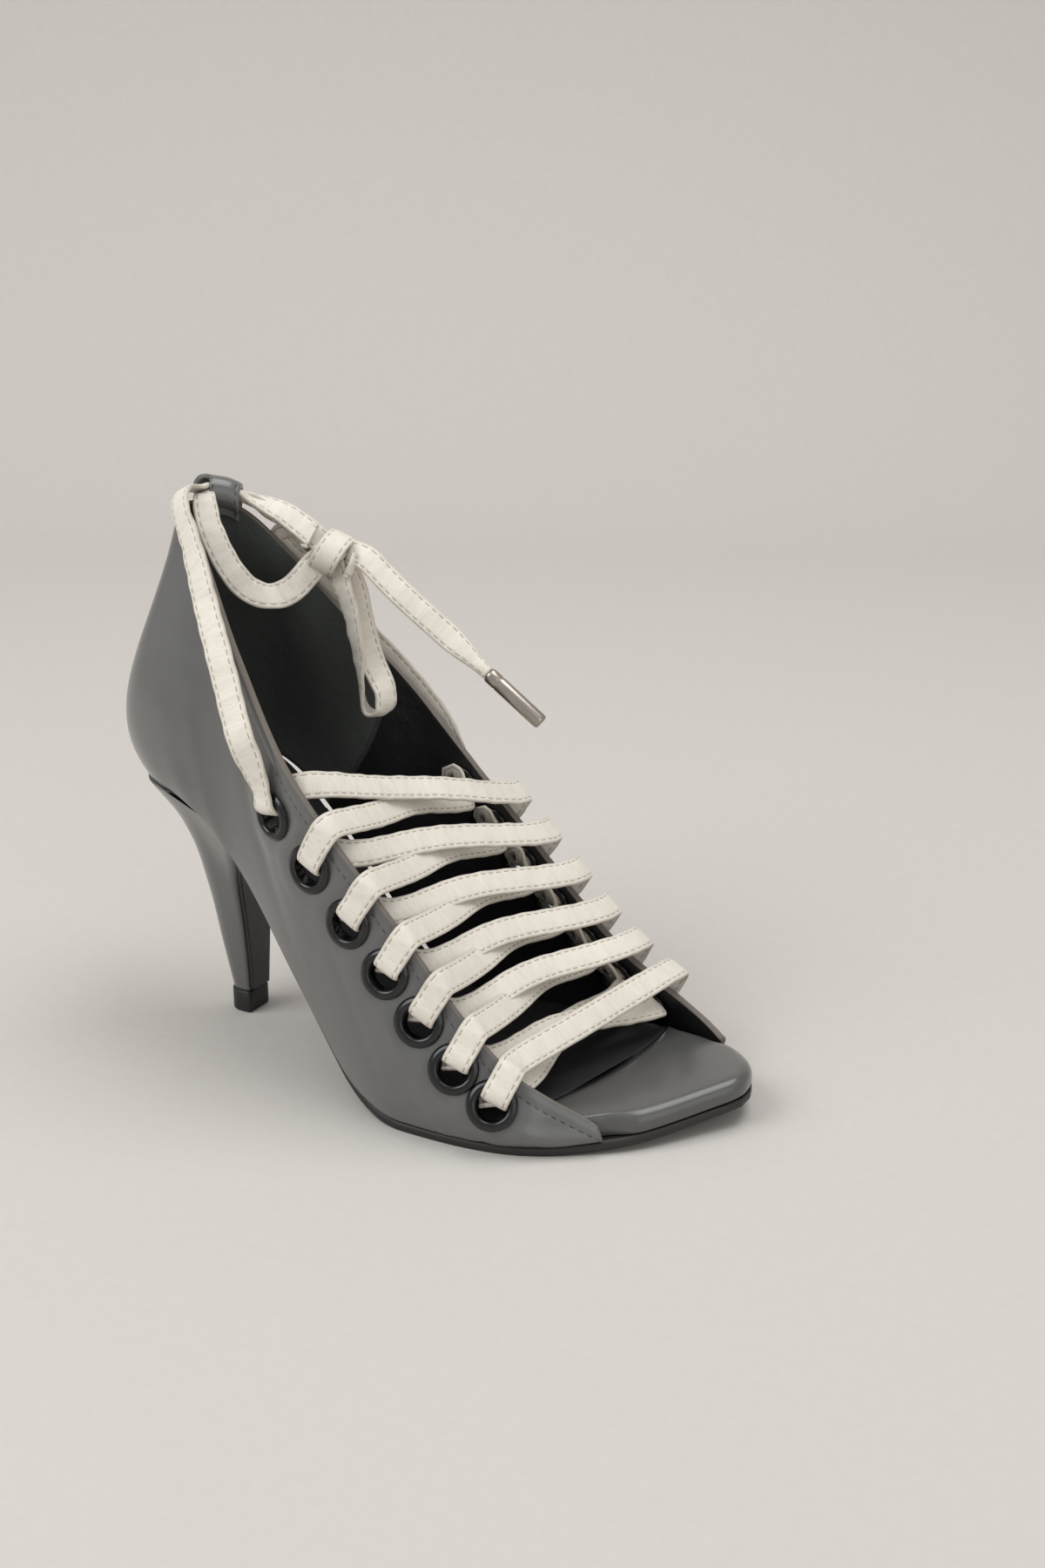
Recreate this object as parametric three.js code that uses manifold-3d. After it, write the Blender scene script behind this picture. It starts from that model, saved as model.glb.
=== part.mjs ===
// Lace-up heeled shoe for the right foot, open at the toe and along the throat.
// Millimetres. +X runs to the toe, +Y to the inner (medial) side of the foot, +Z up.
// The origin lies on the floor under the middle of the heel tip.
import * as THREE from "three";
import { mergeVertices } from "three/addons/utils/BufferGeometryUtils.js";
import Module from "manifold-3d";

const wasm = await Module();
wasm.setup();

// Sizes of the last
const SOLE_LENGTH = 193; // level length, back of the seat to the toe
const SEAT_SETBACK = 28; // back of the seat behind the middle of the heel tip
const BALL_WIDTH = 83;
const HEEL_HEIGHT = 74; // floor to the underside of the sole at the seat
const TOE_SPRING = 6;
const COLLAR_HEIGHT = 159; // floor to the top edge at the back

// Thicknesses
const WALL = 2; // leather and lining of the upper
const OUTSOLE_THICKNESS = 2.5;
const INSOLE_THICKNESS = 2.5; // at the seat
const FOOTBED_THICKNESS = 6; // padded front of the insole
const BREAST_THICKNESS = 1.2;

// Heel tip
const TIP_WIDTH = 9.2;
const TIP_DEPTH = 7.7;
const TOP_PIECE_HEIGHT = 7;
const TOP_PIECE_LIP = 0.5; // how far the rubber stands out round the heel

// Eyelets
const EYELETS = 7; // on each side
const EYELET_RADIUS = 7.1;
const EYELET_BACK_RADIUS = 6.4;
const EYELET_BORE = 4.4;
const EYELET_BARREL = 5.1;
const EYELET_FLANGE = 1.1;
const EYELET_BACK_FLANGE = 0.6;
const EYELET_ROUND = 10; // sides of the turned shapes

// Lace and pull loop
const LACE_WIDTH = 8;
const LACE_THICKNESS = 1.7;
const LACE_SLANT = 3.2; // turn between an eyelet and the place where its lace tops the edge
const LACE_SLACK = 4; // how far the loops of the inner row stand out from the wall
const LACE_DROP = 7; // way below the top edge at which a lace passes on the inside
const LACE_CORD = 4.6; // plain tube that stands for the folded lace
const CORD_SIDES = 8;
const AGLET_DIAMETER = 4.6;
const AGLET_LENGTH = 21;
const KNOT_RADII = [7.4, 6.4, 7.2];
const LOOP_TURN = 11; // where it sits round the collar
const LOOP_REACH = 12; // half its width, as a turn round the collar
const LOOP_THICKNESS = 1.2;
const LOOP_LEG = 12; // how far the loop reaches down the outside of the wall
const LOOP_TAB = 3; // how far it reaches down inside
const LOOP_TUNNEL = 3.6; // inside radius over the edge

// Clearances
const GAP = 0.3; // between pieces that touch
const LACE_GAP = 0.8; // between the lace and what it passes

// Outline of the sole: turn is the angle round it from the back, outer and inner are
// distances from the middle line as shares of BALL_WIDTH.
const OUTLINE = [
  { turn: 0, outer: 0, inner: 0 },
  { turn: 20, outer: 0.163, inner: 0.163 },
  { turn: 40, outer: 0.283, inner: 0.283 },
  { turn: 60, outer: 0.307, inner: 0.295 },
  { turn: 80, outer: 0.386, inner: 0.337 },
  { turn: 100, outer: 0.52, inner: 0.44 },
  { turn: 120, outer: 0.478, inner: 0.47 },
  { turn: 140, outer: 0.29, inner: 0.422 },
  { turn: 160, outer: 0.03, inner: 0.277 },
  { turn: 180, outer: -0.108, inner: 0.108 },
];

// Underside of the sole: along is a share of SOLE_LENGTH, up a share of HEEL_HEIGHT.
const ARCH = [
  { along: 0, up: 1 },
  { along: 0.093, up: 1 },
  { along: 0.171, up: 0.932 },
  { along: 0.249, up: 0.736 },
  { along: 0.352, up: 0.385 },
  { along: 0.456, up: 0.088 },
  { along: 0.534, up: 0.014 },
  { along: 0.601, up: 0 },
  { along: 0.7, up: 0 },
];
const TREAD_END = 0.746; // share of SOLE_LENGTH where the toe spring starts

// Top edge of the upper and the swell of its wall. along: share of SOLE_LENGTH, out: share of
// BALL_WIDTH from the middle line, up: share of COLLAR_HEIGHT, belly: share of BALL_WIDTH.
const TOP_OUTER = [
  { turn: 0, along: 0.086, out: -0.058, up: 0.994, belly: 0.235 },
  { turn: 20, along: 0.087, out: 0.07, up: 0.994, belly: 0.2 },
  { turn: 40, along: 0.137, out: 0.162, up: 0.966, belly: 0.12 },
  { turn: 60, along: 0.259, out: 0.318, up: 0.772, belly: 0.06 },
  { turn: 80, along: 0.394, out: 0.434, up: 0.575, belly: 0.06 },
  { turn: 100, along: 0.56, out: 0.446, up: 0.365, belly: 0.072 },
  { turn: 120, along: 0.725, out: 0.434, up: 0.157, belly: 0.066 },
  { turn: 137, along: 0.86, out: 0.33, up: 0.052, belly: 0.02 },
];
const TOP_INNER = [
  { turn: 0, along: 0.086, out: 0.058, up: 0.994, belly: 0.235 },
  { turn: 20, along: 0.1207, out: 0.139, up: 0.978, belly: 0.2 },
  { turn: 40, along: 0.168, out: 0.205, up: 0.923, belly: 0.12 },
  { turn: 60, along: 0.259, out: 0.307, up: 0.783, belly: 0.06 },
  { turn: 80, along: 0.394, out: 0.434, up: 0.588, belly: 0.06 },
  { turn: 100, along: 0.56, out: 0.446, up: 0.38, belly: 0.06 },
  { turn: 120, along: 0.725, out: 0.446, up: 0.189, belly: 0.05 },
  { turn: 137, along: 0.876, out: 0.428, up: 0.088, belly: 0.02 },
  { turn: 143, along: 0.912, out: 0.415, up: 0.06, belly: 0.015 },
];
const TURN_OUTER = 137; // where the upper ends at the toe opening
const TURN_INNER = 142;

// Sections of the heel from the tip to the seat: rise is the share of the way up, back, front
// and half are millimetres at the seat's scale given as shares of SOLE_LENGTH and BALL_WIDTH.
const HEEL = [
  { rise: 0, back: 0, front: 0, half: 0 },
  { rise: 0.19, back: 0.017, front: 0.001, half: 0.011 },
  { rise: 0.48, back: 0.039, front: 0.002, half: 0.036 },
  { rise: 0.7, back: 0.06, front: 0.008, half: 0.077 },
  { rise: 0.85, back: 0.082, front: 0.026, half: 0.137 },
  { rise: 1, back: 0.117, front: 0.054, half: 0.214 },
];

// Rows of eyelets from the ankle to the toe: turn round the outline and share of the wall's rise
const ROW_OUTER = [
  { turn: 73.7, rise: 0.74 },
  { turn: 83.3, rise: 0.79 },
  { turn: 91.5, rise: 0.78 },
  { turn: 98.8, rise: 0.75 },
  { turn: 105.4, rise: 0.69 },
  { turn: 111.9, rise: 0.6 },
  { turn: 118.7, rise: 0.52 },
];
const ROW_INNER = [
  { turn: 85.2, rise: 0.84 },
  { turn: 91.8, rise: 0.82 },
  { turn: 98.2, rise: 0.8 },
  { turn: 104.6, rise: 0.76 },
  { turn: 111, rise: 0.7 },
  { turn: 117.6, rise: 0.61 },
  { turn: 124.4, rise: 0.51 },
];

// The free lace, worked out along its own middle line
const LATERAL_RUN = [
  [37.8, -40.2, 91.5], [33.5, -40, 101.5], [27.5, -36.5, 112], [20.5, -32, 123],
  [13.5, -27, 133], [7, -22, 143], [1, -17.8, 151.5], [-4.5, -14, 158.4], [-8.2, -9.2, 161.2],
  [-10.1, -4.6, 161.6],
];
const TUNNEL_RUN = [
  [-9.7, 4, 160.5], [-8.3, 5.7, 159.9], [-6.5, 7.6, 159.5], [-4.6, 9.4, 158.6], [-2.9, 10.9, 157.5],
  [0.6, 13.6, 157.1], [7, 17.2, 153.8], [12.6, 19.8, 149.6],
];
// Turn, way out from the top edge and way above it
const MEDIAL_RUN = [
  { turn: 81, out: 4.6, up: -4 },
  { turn: 74, out: 3.4, up: -0.5 },
  { turn: 66, out: 3.4, up: 0 },
  { turn: 57, out: 3.4, up: 0 },
  { turn: 48, out: 3.4, up: 0.3 },
  { turn: 41, out: 3.4, up: 0.8 },
  { turn: 35, out: 3, up: 2 },
];
const DRAPE = [
  [-6.4, 0.2, 160.6], [-4, -2.8, 157], [-0.6, -5.6, 151.6], [3.4, -4.6, 142.4],
  [7.3, -0.6, 134.4], [11.4, 4.6, 131.2], [14.6, 9.8, 132], [16.5, 13.5, 136],
];
const HANGING_LOOP = [
  [23.6, 18.9, 132.6], [25.6, 18.4, 126], [28, 18, 114], [30, 17.6, 103], [33.4, 17.4, 95.5],
  [38, 18, 94.8], [40.4, 19.2, 100.5], [39.2, 20.6, 110], [36.4, 21.8, 121], [32.2, 23, 132.6],
];
const FREE_END = [
  [33, 21.8, 142.6], [39, 22.4, 137.6], [47, 23.4, 130.6], [59, 25.4, 121.2], [71, 27.5, 111.4],
];
const KNOT = [22.5, 20.5, 142.5];
const AGLET_AIM = [86.4, 30, 99]; // point that the metal tip points at

const radians = THREE.MathUtils.degToRad;
const UP = new THREE.Vector3(0, 0, 1);

// Smooth curve through the rows of a table, with no overshoot between two rows.
function read(table, key, column, at) {
  const last = table.length - 1;
  const x = THREE.MathUtils.clamp(at, table[0][key], table[last][key]);
  let i = 0;
  while (i < last - 1 && x > table[i + 1][key]) {
    i += 1;
  }
  const slope = (j) => (table[j + 1][column] - table[j][column]) / (table[j + 1][key] - table[j][key]);
  const tangent = (j) => {
    if (j === 0) return slope(0);
    if (j === last) return slope(last - 1);
    const before = slope(j - 1);
    const after = slope(j);
    if (before * after <= 0) return 0;
    const left = table[j][key] - table[j - 1][key];
    const right = table[j + 1][key] - table[j][key];
    const mean = (before * right + after * left) / (left + right);
    const limit = 3 * Math.min(Math.abs(before), Math.abs(after));
    return Math.sign(mean) * Math.min(Math.abs(mean), limit);
  };
  const span = table[i + 1][key] - table[i][key];
  const t = (x - table[i][key]) / span;
  const a = table[i][column];
  const b = table[i + 1][column];
  const bend = (1 - t) * tangent(i) - t * tangent(i + 1);
  return a + (b - a) * t * t * (3 - 2 * t) + span * t * (1 - t) * bend;
}

// Underside of the outsole above the floor.
function underside(x) {
  const along = (x + SEAT_SETBACK) / SOLE_LENGTH;
  const spring = Math.max(0, (along - TREAD_END) / (1 - TREAD_END));
  return HEEL_HEIGHT * read(ARCH, "along", "up", along) + TOE_SPRING * spring * spring;
}

// Outline of the sole. turn is negative on the outer side and positive on the inner side.
function outline(turn) {
  const angle = Math.abs(turn);
  const x = -SEAT_SETBACK + (SOLE_LENGTH * (1 - Math.cos(radians(angle)))) / 2;
  const share = read(OUTLINE, "turn", turn < 0 ? "outer" : "inner", angle);
  return new THREE.Vector2(x, Math.sign(turn) * BALL_WIDTH * share);
}

// Level direction that faces away from the foot at a place on the outline.
function outward(turn) {
  const step = 0.4;
  const a = outline(turn - step);
  const b = outline(turn + step);
  return new THREE.Vector3(a.y - b.y, b.x - a.x, 0).normalize();
}

function topEdge(turn) {
  const table = turn < 0 ? TOP_OUTER : TOP_INNER;
  const angle = Math.abs(turn);
  const side = turn < 0 ? -1 : 1;
  return new THREE.Vector3(
    -SEAT_SETBACK + SOLE_LENGTH * read(table, "turn", "along", angle),
    side * BALL_WIDTH * read(table, "turn", "out", angle),
    COLLAR_HEIGHT * read(table, "turn", "up", angle),
  );
}

// Outer face of the upper: a curve from the sole's edge (rise 0) up to the top edge (rise 1).
function wallPoint(turn, rise) {
  const foot = outline(turn);
  const base = underside(foot.x) + OUTSOLE_THICKNESS + GAP;
  const low = new THREE.Vector3(foot.x, foot.y, base);
  const high = topEdge(turn);
  const away = outward(turn);
  const table = turn < 0 ? TOP_OUTER : TOP_INNER;
  const belly = BALL_WIDTH * read(table, "turn", "belly", Math.abs(turn));
  const height = high.z - low.z;
  const lower = low.clone().addScaledVector(away, belly).addScaledVector(UP, 0.28 * height);
  const upper = high.clone().addScaledVector(away, 0.35 * belly).addScaledVector(UP, -0.36 * height);
  return new THREE.CubicBezierCurve3(low, lower, upper, high).getPoint(rise);
}

function wallNormal(turn, rise) {
  const a = THREE.MathUtils.clamp(rise - 0.02, 0, 1);
  const b = THREE.MathUtils.clamp(rise + 0.02, 0, 1);
  const climb = wallPoint(turn, b).sub(wallPoint(turn, a));
  const run = wallPoint(turn + 0.5, rise).sub(wallPoint(turn - 0.5, rise));
  return climb.cross(run).normalize();
}

// A point at some depth behind the outer face.
function behindWall(turn, rise, depth) {
  return wallPoint(turn, rise).addScaledVector(wallNormal(turn, rise), -depth);
}

// Closed body between two grids of points that have the same rows and columns.
function shell(front, back) {
  const rows = front.length;
  const columns = front[0].length;
  const points = [...front.flat(), ...back.flat()];
  const at = (layer, i, j) => layer * rows * columns + i * columns + j;
  const faces = [];
  const quad = (a, b, c, d) => faces.push(a, b, c, a, c, d);
  for (let i = 0; i < rows - 1; i += 1) {
    for (let j = 0; j < columns - 1; j += 1) {
      quad(at(0, i, j), at(0, i + 1, j), at(0, i + 1, j + 1), at(0, i, j + 1));
      quad(at(1, i, j), at(1, i, j + 1), at(1, i + 1, j + 1), at(1, i + 1, j));
    }
  }
  for (let i = 0; i < rows - 1; i += 1) {
    quad(at(0, i, 0), at(1, i, 0), at(1, i + 1, 0), at(0, i + 1, 0));
    const j = columns - 1;
    quad(at(0, i, j), at(0, i + 1, j), at(1, i + 1, j), at(1, i, j));
  }
  for (let j = 0; j < columns - 1; j += 1) {
    quad(at(0, 0, j), at(0, 0, j + 1), at(1, 0, j + 1), at(1, 0, j));
    const i = rows - 1;
    quad(at(0, i, j), at(1, i, j), at(1, i, j + 1), at(0, i, j + 1));
  }
  return body(points, faces);
}

// Closed body through a row of rings that have the same number of points, closed by a fan.
function loft(rings) {
  const count = rings[0].length;
  const points = rings.flat();
  const faces = [];
  for (let i = 0; i < rings.length - 1; i += 1) {
    for (let j = 0; j < count; j += 1) {
      const a = i * count + j;
      const b = i * count + ((j + 1) % count);
      faces.push(a, b, b + count, a, b + count, a + count);
    }
  }
  for (const [index, turned] of [[0, true], [rings.length - 1, false]]) {
    const middle = new THREE.Vector3();
    rings[index].forEach((p) => middle.addScaledVector(p, 1 / count));
    points.push(middle);
    const hub = points.length - 1;
    for (let j = 0; j < count; j += 1) {
      const a = index * count + j;
      const b = index * count + ((j + 1) % count);
      faces.push(...(turned ? [hub, b, a] : [hub, a, b]));
    }
  }
  return body(points, faces);
}

function body(points, faces) {
  const geometry = new THREE.BufferGeometry();
  geometry.setAttribute("position", new THREE.Float32BufferAttribute(points.flatMap((p) => p.toArray()), 3));
  geometry.setIndex(faces);
  return tidy(geometry);
}

// Merges shared corners and turns the faces outwards.
function tidy(geometry) {
  geometry.deleteAttribute("normal");
  geometry.deleteAttribute("uv");
  const merged = mergeVertices(geometry, 1e-4);
  const corner = (i) => new THREE.Vector3().fromBufferAttribute(merged.attributes.position, i);
  const index = Array.from(merged.index.array);
  const kept = [];
  let volume = 0;
  for (let i = 0; i < index.length; i += 3) {
    const [a, b, c] = [index[i], index[i + 1], index[i + 2]];
    if (a !== b && b !== c && c !== a) {
      kept.push(a, b, c);
      volume += corner(a).dot(corner(b).cross(corner(c)));
    }
  }
  if (volume < 0) kept.reverse();
  merged.setIndex(kept);
  return merged;
}

function toSolid(geometry) {
  const vertProperties = new Float32Array(geometry.attributes.position.array);
  const triVerts = new Uint32Array(geometry.index.array);
  return new wasm.Manifold(new wasm.Mesh({ numProp: 3, vertProperties, triVerts }));
}

function fromSolid(solid) {
  const mesh = solid.getMesh();
  const geometry = new THREE.BufferGeometry();
  geometry.setAttribute("position", new THREE.Float32BufferAttribute(mesh.vertProperties, 3));
  geometry.setIndex(Array.from(mesh.triVerts));
  return geometry;
}

function spaced(from, to, steps) {
  return Array.from({ length: steps + 1 }, (_, i) => from + ((to - from) * i) / steps);
}

// Places the turned shape of an eyelet: its own +Y becomes the outward normal of the wall.
function placedOn(geometry, point, direction) {
  const turn = new THREE.Quaternion().setFromUnitVectors(new THREE.Vector3(0, 1, 0), direction);
  return geometry.applyQuaternion(turn).translate(point.x, point.y, point.z);
}

// Rise at which a point of the wall lies a given way below the top edge.
function riseBelowEdge(turn, drop) {
  let rise = 1;
  let way = 0;
  while (way < drop && rise > 0.1) {
    way += wallPoint(turn, rise).distanceTo(wallPoint(turn, rise - 0.01));
    rise -= 0.01;
  }
  return rise;
}

// Wall of the upper before its eyelet holes are cut.
function wall() {
  const turns = spaced(-TURN_OUTER, TURN_INNER, 54);
  const rises = spaced(0, 1, 6);
  const front = turns.map((turn) => rises.map((rise) => wallPoint(turn, rise)));
  const back = turns.map((turn) => rises.map((rise) => behindWall(turn, rise, WALL)));
  return toSolid(shell(front, back));
}

const SHELL = wall();

function drill(place, radius, length) {
  const bit = tidy(new THREE.CylinderGeometry(radius, radius, length, EYELET_ROUND));
  return toSolid(placedOn(bit, place.point, place.normal));
}

// Lowest and highest point of the wall under a flange, measured along the eyelet's axis.
function wallUnder(place, radius) {
  const patch = fromSolid(SHELL.intersect(drill(place, radius, 8 * WALL))).attributes.position;
  const heights = Array.from({ length: patch.count }, (_, i) => {
    return new THREE.Vector3().fromBufferAttribute(patch, i).sub(place.point).dot(place.normal);
  });
  return { low: Math.min(...heights), high: Math.max(...heights) };
}

function eyeletPlaces(row, side) {
  return row.map(({ turn, rise }) => {
    const point = wallPoint(side * turn, rise);
    const place = { turn: side * turn, rise, point, normal: wallNormal(side * turn, rise) };
    place.seat = wallUnder(place, EYELET_RADIUS).high + GAP;
    place.back = wallUnder(place, EYELET_BACK_RADIUS).low - GAP;
    return place;
  });
}

const PLACES = { l: eyeletPlaces(ROW_OUTER, -1), m: eyeletPlaces(ROW_INNER, 1) };

function eyelet({ point, normal, seat, back }) {
  const profile = [
    [EYELET_BORE, seat + EYELET_FLANGE],
    [EYELET_RADIUS - 0.9, seat + EYELET_FLANGE],
    [EYELET_RADIUS, seat],
    [EYELET_BARREL, seat],
    [EYELET_BARREL, back],
    [EYELET_BACK_RADIUS, back],
    [EYELET_BACK_RADIUS, back - EYELET_BACK_FLANGE],
    [EYELET_BORE, back - EYELET_BACK_FLANGE],
    [EYELET_BORE, seat + EYELET_FLANGE],
  ].map(([r, h]) => new THREE.Vector2(r, h));
  const turned = tidy(new THREE.LatheGeometry(profile, EYELET_ROUND));
  return placedOn(turned, point, normal);
}

function upper() {
  let solid = SHELL;
  for (const place of [...PLACES.l, ...PLACES.m]) {
    solid = solid.subtract(drill(place, EYELET_BARREL + GAP, 8 * WALL));
  }
  return fromSolid(solid);
}

// Plate that follows the sole: from one place along the foot to another, drawn in from the
// outline by an inset, between two heights above the underside.
function plate(from, to, steps, inset, low, high) {
  const shares = spaced(0, 1, 4);
  const grid = (level) => spaced(0, 1, steps).map((way) => shares.map((share) => {
    const p = acrossSole(from + (to(share) - from) * way, share, inset);
    p.z = underside(p.x) + level(p.x);
    return p;
  }));
  return shell(grid(high), grid(low));
}

// Point of the sole at a turn and a share of the way from the outer to the inner side.
function acrossSole(angle, share, inset) {
  const a = outline(-angle);
  const b = outline(angle);
  const outer = new THREE.Vector3(a.x, a.y, 0).addScaledVector(outward(-angle), -inset(a.x));
  const inner = new THREE.Vector3(b.x, b.y, 0).addScaledVector(outward(angle), -inset(b.x));
  return outer.lerp(inner, share);
}

// Turn at which a line along the sole meets the seam.
function turnAtSeam(share, inset) {
  let angle = turnAt(SEAM_EDGE);
  for (let i = 0; i < 8; i += 1) {
    angle = turnAt(seam(acrossSole(angle, share, inset).y));
  }
  return angle;
}

// Turn at which the outline reaches a distance along X.
function turnAt(x) {
  const share = (x + SEAT_SETBACK) / SOLE_LENGTH;
  return THREE.MathUtils.radToDeg(Math.acos(1 - 2 * share));
}

const BREAST_X = TIP_DEPTH / 2 + HEEL[5].front * SOLE_LENGTH; // front of the heel at the seat
const EDGE_INSET = 1.2; // outsole drawn in at the waist
const INSOLE_INSET = 1.9; // side of the insole, from the inside of the upper
const FOOTBED_RISE = [40, 85]; // distances along X between which the footbed thickens
const SEAT_START = 9; // turn at which the insole starts, clear of the counter
const TOE_END = 178; // turn at which the plates end at the toe

// Seam between the insole and the toe platform, bowed to the front
const SEAM_EDGE = 0.8031 * SOLE_LENGTH - SEAT_SETBACK; // where the bow starts, along X
const SEAM_BOW = 2.5; // how far the bow stands in front of it
const SEAM_CREST = 22; // distance of the bow's crest from the middle line
const SEAM_SPAN = 24.7; // half the width in which the bow falls back to SEAM_EDGE
const seam = (y) => SEAM_EDGE + SEAM_BOW * (1 - ((y - SEAM_CREST) / SEAM_SPAN) ** 2);

const footbed = (x) => {
  const share = THREE.MathUtils.smoothstep(x, ...FOOTBED_RISE);
  return INSOLE_THICKNESS + (FOOTBED_THICKNESS - INSOLE_THICKNESS) * share;
};

function outsole() {
  const from = turnAt(BREAST_X + BREAST_THICKNESS + 2 * GAP);
  const waist = (x) => EDGE_INSET * (1 - THREE.MathUtils.smoothstep(x, 45, 80));
  return plate(from, () => TOE_END - 2, 24, waist, () => 0, () => OUTSOLE_THICKNESS);
}

const BASE = OUTSOLE_THICKNESS + 2 * GAP; // underside of what lies on the outsole

function insole() {
  const inset = () => WALL + INSOLE_INSET;
  const to = (share) => turnAtSeam(share, inset);
  return plate(SEAT_START, to, 22, inset, () => BASE, (x) => BASE + footbed(x));
}

// Leather wrapped front of the footbed. Its edge is rounded where it shows in the toe opening
// and drawn in where the upper closes over it.
function toePlatform() {
  const inset = () => WALL + INSOLE_INSET;
  const [outerStart, innerStart] = [0, 1].map((share) => turnAtSeam(share, inset));
  const angles = [...spaced(-outerStart, -TOE_END, 18), ...spaced(TOE_END, innerStart, 18)];
  const bow = [2 / 3, 1 / 3].map((share) => acrossSole(turnAtSeam(share, inset), share, inset));
  const covered = (turn) => (turn < 0 ? Math.abs(turn) < TURN_OUTER + 1 : turn < TURN_INNER + 1);
  const levels = [
    { up: 0, inset: 1.6 },
    { up: 0.2, inset: 0.3 },
    { up: 0.55, inset: 0 },
    { up: 0.85, inset: 1.2 },
    { up: 1, inset: 3.2 },
  ];
  const rings = levels.map((level) => {
    const sides = angles.map((turn) => {
      const foot = outline(turn);
      const drawn = covered(turn) ? WALL + 3 * GAP + 0.4 * level.inset : level.inset;
      return new THREE.Vector3(foot.x, foot.y, 0).addScaledVector(outward(turn), -drawn);
    });
    return [...sides, ...bow.map((p) => p.clone())].map((p) => {
      p.x = Math.max(p.x, seam(p.y) + GAP);
      p.z = underside(p.x) + BASE + level.up * FOOTBED_THICKNESS;
      return p;
    });
  });
  return loft(rings);
}

// One level section of the heel: round at the back, with a flat front.
function heelRing(rise, grow) {
  const back = -(TIP_DEPTH / 2 + SOLE_LENGTH * read(HEEL, "rise", "back", rise)) - grow;
  const front = TIP_DEPTH / 2 + SOLE_LENGTH * read(HEEL, "rise", "front", rise) + grow;
  const half = TIP_WIDTH / 2 + BALL_WIDTH * read(HEEL, "rise", "half", rise) + grow;
  const middle = back + 0.55 * (front - back);
  const round = spaced(90, 270, 14).map(radians);
  const ring = round.map((a) => [middle + (middle - back) * Math.cos(a), half * Math.sin(a)]);
  ring.push([middle + 0.5 * (front - middle), -half], [front, -0.9 * half], [front, 0], [front, 0.9 * half]);
  ring.push([middle + 0.5 * (front - middle), half]);
  return ring;
}

function heelLevel(x, rise) {
  const bottom = TOP_PIECE_HEIGHT + GAP;
  const seat = underside(x) + OUTSOLE_THICKNESS;
  return bottom + (seat - bottom) * rise;
}

function heel() {
  const seat = heelRing(1, 0);
  const rises = spaced(0, 1, 9);
  return loft(rises.map((rise) => heelRing(rise, 0).map(([x, y], i) => {
    return new THREE.Vector3(x, y, heelLevel(seat[i][0], rise));
  })));
}

function topPiece() {
  const ring = heelRing(0, TOP_PIECE_LIP);
  return loft([0, TOP_PIECE_HEIGHT].map((z) => ring.map(([x, y]) => new THREE.Vector3(x, y, z))));
}

// Dark flap that covers the flat front of the heel.
function heelBreast() {
  const rises = spaced(0.01, 0.985, 12);
  const columns = spaced(-0.86, 0.86, 3);
  const sheet = (depth) => rises.map((rise) => columns.map((share) => {
    const x = TIP_DEPTH / 2 + SOLE_LENGTH * read(HEEL, "rise", "front", rise);
    const half = TIP_WIDTH / 2 + BALL_WIDTH * read(HEEL, "rise", "half", rise);
    const lean = rise > 0.75 ? 2.2 * (rise - 0.75) : 0;
    return new THREE.Vector3(x + depth, share * half, heelLevel(BREAST_X, rise) - lean * depth);
  }));
  return shell(sheet(GAP + BREAST_THICKNESS), sheet(GAP));
}

// Frame of the wall at the collar: middle of its edge, level way out and way up the wall.
function collarFrame(turn) {
  const edge = behindWall(turn, 1, WALL / 2);
  const climb = edge.clone().sub(behindWall(turn, 0.9, WALL / 2)).normalize();
  return { edge, climb, away: wallNormal(turn, 0.97) };
}

// Pull loop: a strip that climbs the outside of the collar, arches over its edge and comes down
// inside. Its profile is drawn across the wall, x away from the foot and y up the wall.
function heelLoop() {
  const halfWall = WALL / 2 + GAP + 0.5;
  const raise = 0.75 * LOOP_TUNNEL; // centre of the tunnel above the edge
  const arch = spaced(-30, 210, 10).map(radians);
  const profile = (thick) => [
    [halfWall + thick, -LOOP_LEG],
    [halfWall + thick, -0.45 * LOOP_LEG],
    [halfWall + thick, -0.8],
    ...arch.map((a) => [
      (LOOP_TUNNEL + thick) * Math.cos(a),
      raise + (LOOP_TUNNEL + thick) * Math.sin(a),
    ]),
    [-halfWall - thick, -0.2 * LOOP_TAB],
    [-halfWall - thick, -0.5 * LOOP_TAB],
    [-halfWall - thick, -LOOP_TAB],
  ];
  const turns = spaced(LOOP_TURN - LOOP_REACH, LOOP_TURN + LOOP_REACH, 4);
  const sheet = (thick) => turns.map((turn) => {
    const { edge, climb, away } = collarFrame(turn);
    return profile(thick).map(([x, y]) => edge.clone().addScaledVector(away, x).addScaledVector(climb, y));
  });
  return shell(sheet(LOOP_THICKNESS), sheet(0));
}

// Flat strip along a path, with the way its face looks at each point.
function strip(stops) {
  const curve = new THREE.CatmullRomCurve3(stops.map((s) => s.at), false, "centripetal");
  const steps = 3 * (stops.length - 1);
  const rings = spaced(0, 1, steps).map((t) => {
    const place = t * (stops.length - 1);
    const i = Math.min(Math.floor(place), stops.length - 2);
    const face = stops[i].face.clone().lerp(stops[i + 1].face, place - i);
    const tangent = curve.getTangent(t);
    const across = tangent.clone().cross(face).normalize();
    const normal = across.clone().cross(tangent).normalize();
    const centre = curve.getPoint(t);
    return [[1, 1], [-1, 1], [-1, -1], [1, -1]].map(([w, h]) => {
      const p = centre.clone().addScaledVector(across, (w * LACE_WIDTH) / 2);
      return p.addScaledVector(normal, (h * LACE_THICKNESS) / 2);
    });
  });
  return loft(rings);
}

// Direction square to the sloping mouth of the throat.
function mouth(turn) {
  const run = topEdge(turn + 3 * Math.sign(turn)).sub(topEdge(turn - 3 * Math.sign(turn)));
  return new THREE.Vector3(-run.z, 0, run.x).normalize();
}

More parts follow.
